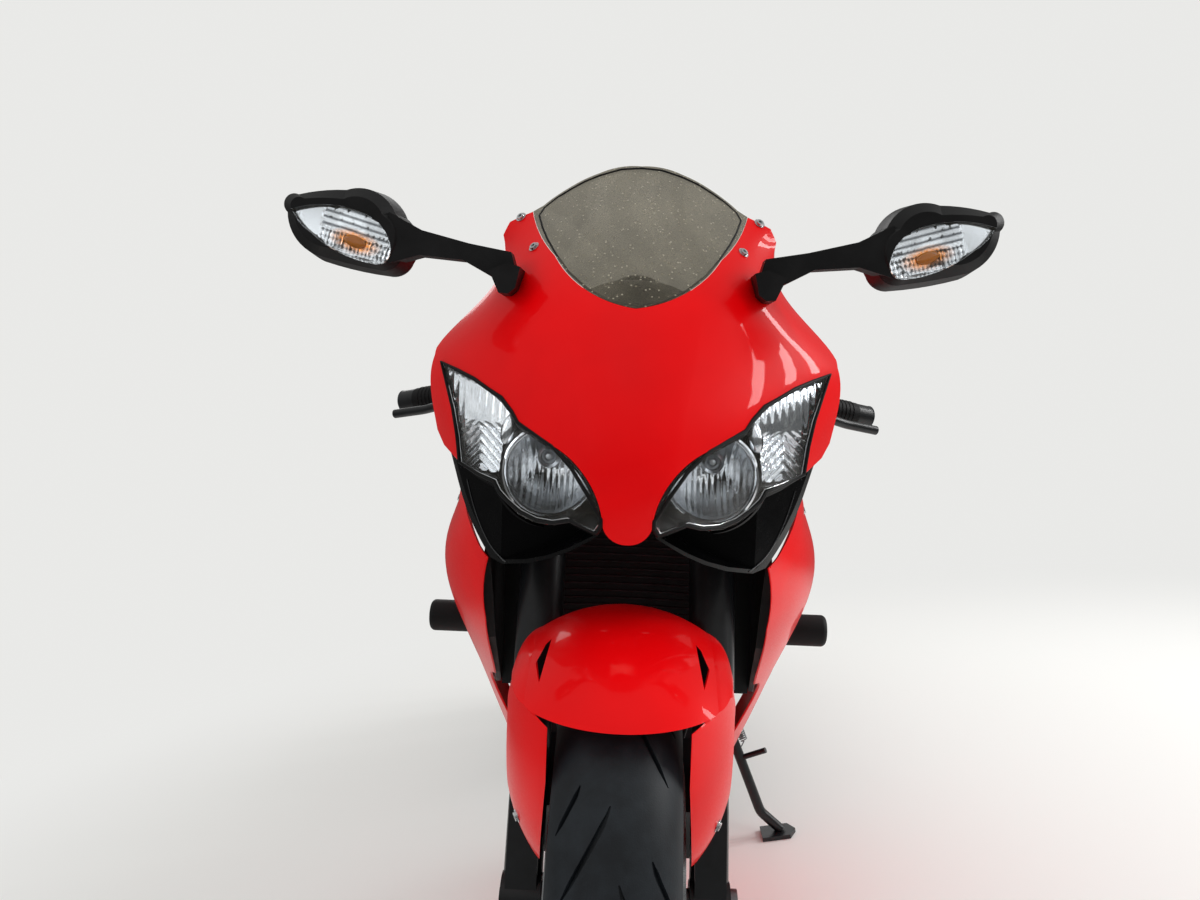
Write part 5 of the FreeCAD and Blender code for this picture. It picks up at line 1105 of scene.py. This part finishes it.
def buildFittings():
    ft = fittings
    bm = bmesh.new()
    for ring in ft["rings"]:
        ringOfScrews(bm, *ring)
    finishPiece("engineScrews", bm, "steel")
    bm = bmesh.new()
    facing = Vector(ft["capFacing"]).normalized()
    seat = Vector(ft["capAt"]) - facing
    addTurned(bm, ft["capLock"], seat, facing, steps=40)
    addTurned(bm, ft["capFlange"], seat, facing, steps=60)
    finishPiece("tankCapRing", bm, "bare_alloy")
    bm = bmesh.new()
    for side in (-1, 1):
        for (x, y, z), across, height, bore in ft["nuts"]:
            addHexNut(bm, (side * x, y, z), (side, 0, 0), across, height, bore)
    finishPiece("rearAxleNuts", bm, "steel")
    bm = bmesh.new()
    for side in (-1, 1):
        out = Vector((side, 0, 0))
        for turn in [math.radians(degrees) for degrees in ft["caliperAngles"]]:
            piston, bolt = [roundWheel(bike["frontAxle"], side * ft["caliperX"], reach, turn)
                            for reach in (ft["caliperReach"], ft["boltReach"])]
            addTurned(bm, ft["piston"], piston, out, steps=28)
            addScrew(bm, bolt, out, *ft["bolt"])
    finishPiece("caliperPistonCaps", bm, "bare_alloy_dark", "fork")
    for wheel in ("front", "rear"):
        bm = bmesh.new()
        _, y, z = bike[wheel + "Axle"]
        addTurned(bm, ft["valve"], (0, y - ft["valveAhead"], z), (0, 1, 0), steps=16)
        finishPiece(wheel + "Valve", bm, "rubber", body=wheel + "_wheel")
    print("fittings built")


# Grips: rings moulded along the rubber, between the switch block and the bar's end weight
gripShape = {
    "clampUp": 615, "clampX": 102, "barEnd": (322, 352, 826), "endWeight": 26, "rings": 15, "firstRing": 8,
    "spacing": 6.4, "inner": 16, "outer": 17.3, "thick": 1.3, "crest": 0.6, "flangeBack": 117,
    "flange": ((16, -4), (21.5, -4), (22.5, -2), (21.5, 0), (16, 0), (16, -4)),
    "cap": ((16, -1), (16.6, 1), (14, 3.2), (6, 3.2), (5, 1.2), (0.02, 1.2)), "capSunk": 0.4,
}


def buildGripRings():
    gs, rake = gripShape, bike["rake"]
    clamp = Vector((gs["clampX"], gs["clampUp"] * math.sin(rake),
                    bike["frontAxle"][2] + gs["clampUp"] * math.cos(rake)))
    end = Vector(gs["barEnd"])
    way = (end - clamp).normalized()
    gripEnd = end - way * gs["endWeight"]
    bm = bmesh.new()
    addTurned(bm, gs["flange"], gripEnd - way * gs["flangeBack"], way)
    inner, outer, thick, crest = gs["inner"], gs["outer"], gs["thick"], gs["thick"] * gs["crest"]
    ring = [(inner, -thick), (outer, -crest), (outer, crest), (inner, thick), (inner, -thick)]
    for k in range(gs["rings"]):
        addTurned(bm, ring, gripEnd - way * (gs["firstRing"] + k * gs["spacing"]), way, steps=28)
    finishPiece("gripRings", bm, "rubber", body="fork", mirrored=True)
    bm = bmesh.new()
    addTurned(bm, gs["cap"], end - way * gs["capSunk"], way)
    finishPiece("barEndCaps", bm, "bare_alloy_dark", "fork", mirrored=True)
    print("grips built")


# Side stand spring: a helix along the outside of the leg, hooked to the pivot's head and to the leg
standSpring = {
    "from": (197.6, 761.0, 268.1), "to": (219.8, 753.8, 215.0), "turns": 15, "perTurn": 12, "radius": 6.5,
    "wire": 1.1, "hooks": ((185.3, 762.0, 270.2), (213.6, 752.8, 202.5)), "straight": 0.05,
}


def buildStandSpring():
    s = standSpring
    a, b = Vector(s["from"]), Vector(s["to"])
    way = (b - a).normalized()
    side = way.orthogonal().normalized()
    other = way.cross(side)
    line = [Vector(s["hooks"][0]), a]
    steps = s["turns"] * s["perTurn"]
    for k in range(steps + 1):
        turn = 2 * math.pi * k / s["perTurn"]
        middle = a + (b - a) * (s["straight"] + (1 - 2 * s["straight"]) * k / steps)
        line.append(middle + side * s["radius"] * math.cos(turn) + other * s["radius"] * math.sin(turn))
    line += [b, Vector(s["hooks"][1])]
    bm = bmesh.new()
    addBead(bm, line, s["wire"], sides=1)
    finishPiece("standSpring", bm, "steel", body="stand", crease=80)
    print("stand spring built")


# Studio: a pale floor that fades into a pale backdrop, a soft sky, and lamps. Three tall panes show in the
# gloss like a window, and the reflectors in the lamps show streaks of light that the world draws.
# A lamp has its name, place, width, height, power, and whether gloss shows it. Sizes are metres.
studio = {
    "pale": "#f1f1ef", "size": 80.0, "under": 0.001, "fadeFrom": 1.0, "fadeTo": 2.2, "seen": 0.93,
    "sky": 0.62, "farGloss": 0.15, "lowGloss": 0.14, "highGloss": 0.6, "glossTop": 0.8, "paneDark": 0.48,
    "paneBright": 1.6,
    "lamps": (("windowPane1", (3.0, -0.35, 1.7), 0.18, 1.6, 14.0, True),
              ("windowPane2", (3.0, 0.2, 1.7), 0.24, 1.6, 18.0, True),
              ("windowPane3", (3.0, 0.8, 1.7), 0.24, 1.6, 18.0, True),
              ("windowLamp", (3.0, -3.2, 2.6), 1.5, 2.6, 20.0, False),
              ("fillLamp", (-3.2, -2.6, 2.8), 2.4, 2.4, 22.0, False),
              ("topLamp", (0.3, -0.4, 4.0), 3.0, 3.0, 30.0, False),
              ("rimLamp", (-0.8, 4.0, 2.6), 2.5, 2.0, 30.0, True)),
    "aim": (0, 0, 0.6), "behindFrom": 2,
}


def addFloor():
    bm = bmesh.new()
    bmesh.ops.create_grid(bm, x_segments=1, y_segments=1, size=studio["size"] / 2)
    floor = addObject("floor", meshFrom(bm, "floor"))
    floor.location.z = -studio["under"]
    m, at = startMaterial("pale_floor")
    far = addNode(m, "VectorMath", {"operation": "LENGTH"}, in0=at)
    fade = addNode(m, "MapRange", {"interpolation_type": "SMOOTHSTEP"}, Value=far.outputs["Value"],
                   From_Min=studio["fadeFrom"], From_Max=studio["fadeTo"])
    matt = addNode(m, "BsdfDiffuse", Color=studio["pale"])
    rays = addNode(m, "LightPath")
    dimmed = addNode(m, "MapRange", Value=rays.outputs["Is Glossy Ray"], To_Min=studio["seen"],
                     To_Max=studio["farGloss"])
    glow = addNode(m, "Emission", Color=studio["pale"], Strength=dimmed)
    finishMaterial(m, "MixShader", Fac=fade, in1=matt, in2=glow)
    floor.data.materials.append(m)


# The camera sees the pale backdrop, gloss a sky that brightens upwards, and a reflector behind clear
# plastic the streaks, because only its rays are both transmitted and past a glossy bounce
def addSky():
    world = bpy.data.worlds.new("studio")
    bpy.context.scene.world = world
    world.use_nodes = True
    world.node_tree.nodes.clear()
    rays = addNode(world, "LightPath")
    camera, through = rays.outputs["Is Camera Ray"], rays.outputs["Is Transmission Ray"]
    seen = addNode(world, "Math", {"operation": "MAXIMUM"}, in0=camera, in1=through)
    plain = addNode(world, "MapRange", Value=seen, To_Min=studio["sky"], To_Max=studio["seen"])
    reflected = addNode(world, "Math", {"operation": "MULTIPLY", "use_clamp": True}, in0=through,
                        in1=rays.outputs["Glossy Depth"])
    way = addNode(world, "TexCoord").outputs["Generated"]
    panes = addNode(world, "TexWave", {"bands_direction": "DIAGONAL"}, Vector=way, Scale=3.2, Distortion=1.5,
                    Detail=1.0)
    pane = addNode(world, "MapRange", Value=panes.outputs["Fac"], From_Min=0.4, From_Max=0.6,
                   To_Min=studio["paneDark"], To_Max=studio["paneBright"])
    up = addNode(world, "SeparateXYZ", Vector=way).outputs["Z"]
    gloss = addNode(world, "MapRange", Value=up, From_Max=studio["glossTop"], To_Min=studio["lowGloss"],
                    To_Max=studio["highGloss"])
    outside = addNode(world, "Mix", {"data_type": "FLOAT"}, in0=rays.outputs["Is Glossy Ray"], in2=plain,
                      in3=gloss)
    strength = addNode(world, "Mix", {"data_type": "FLOAT"}, in0=reflected, in2=outside, in3=pane)
    sky = addNode(world, "Background", Color=studio["pale"], Strength=strength)
    addNode(world, "OutputWorld", Surface=sky)


def addLamps():
    for name, at, wide, high, power, shines in studio["lamps"]:
        data = bpy.data.lights.new(name, "AREA")
        data.shape = "RECTANGLE"
        data.energy = power
        data.size = wide
        data.size_y = high
        lampObject = addObject(name, data)
        lampObject.visible_glossy = shines
        lampObject.visible_transmission = at[1] < studio["behindFrom"]  # none behind shows in the screen
        lampObject.location = at
        lampObject.rotation_euler = (Vector(studio["aim"]) - Vector(at)).to_track_quat("-Z", "Y").to_euler()


addCamera()
addFloor()
addSky()
addLamps()
bpy.context.scene.view_settings.view_transform = "Standard"
print("studio ready")
dressNodes()
for which in tyres:
    buildTyre(which)
print("tyres cut")
for name in discs:
    drilledDisc(name)
print("discs drilled")
buildHeadlamps()
buildIntakeEdges()
buildMirrorLamps()
buildScreenEdge()
buildPanelScrews()
buildDials()
buildRadiatorTubes()
buildChain()
buildSeatNose()
buildSeat("rider_seat", "riderSeat")
buildSeat("pillion_seat", "pillionSeat")
buildFittings()
buildGripRings()
buildStandSpring()
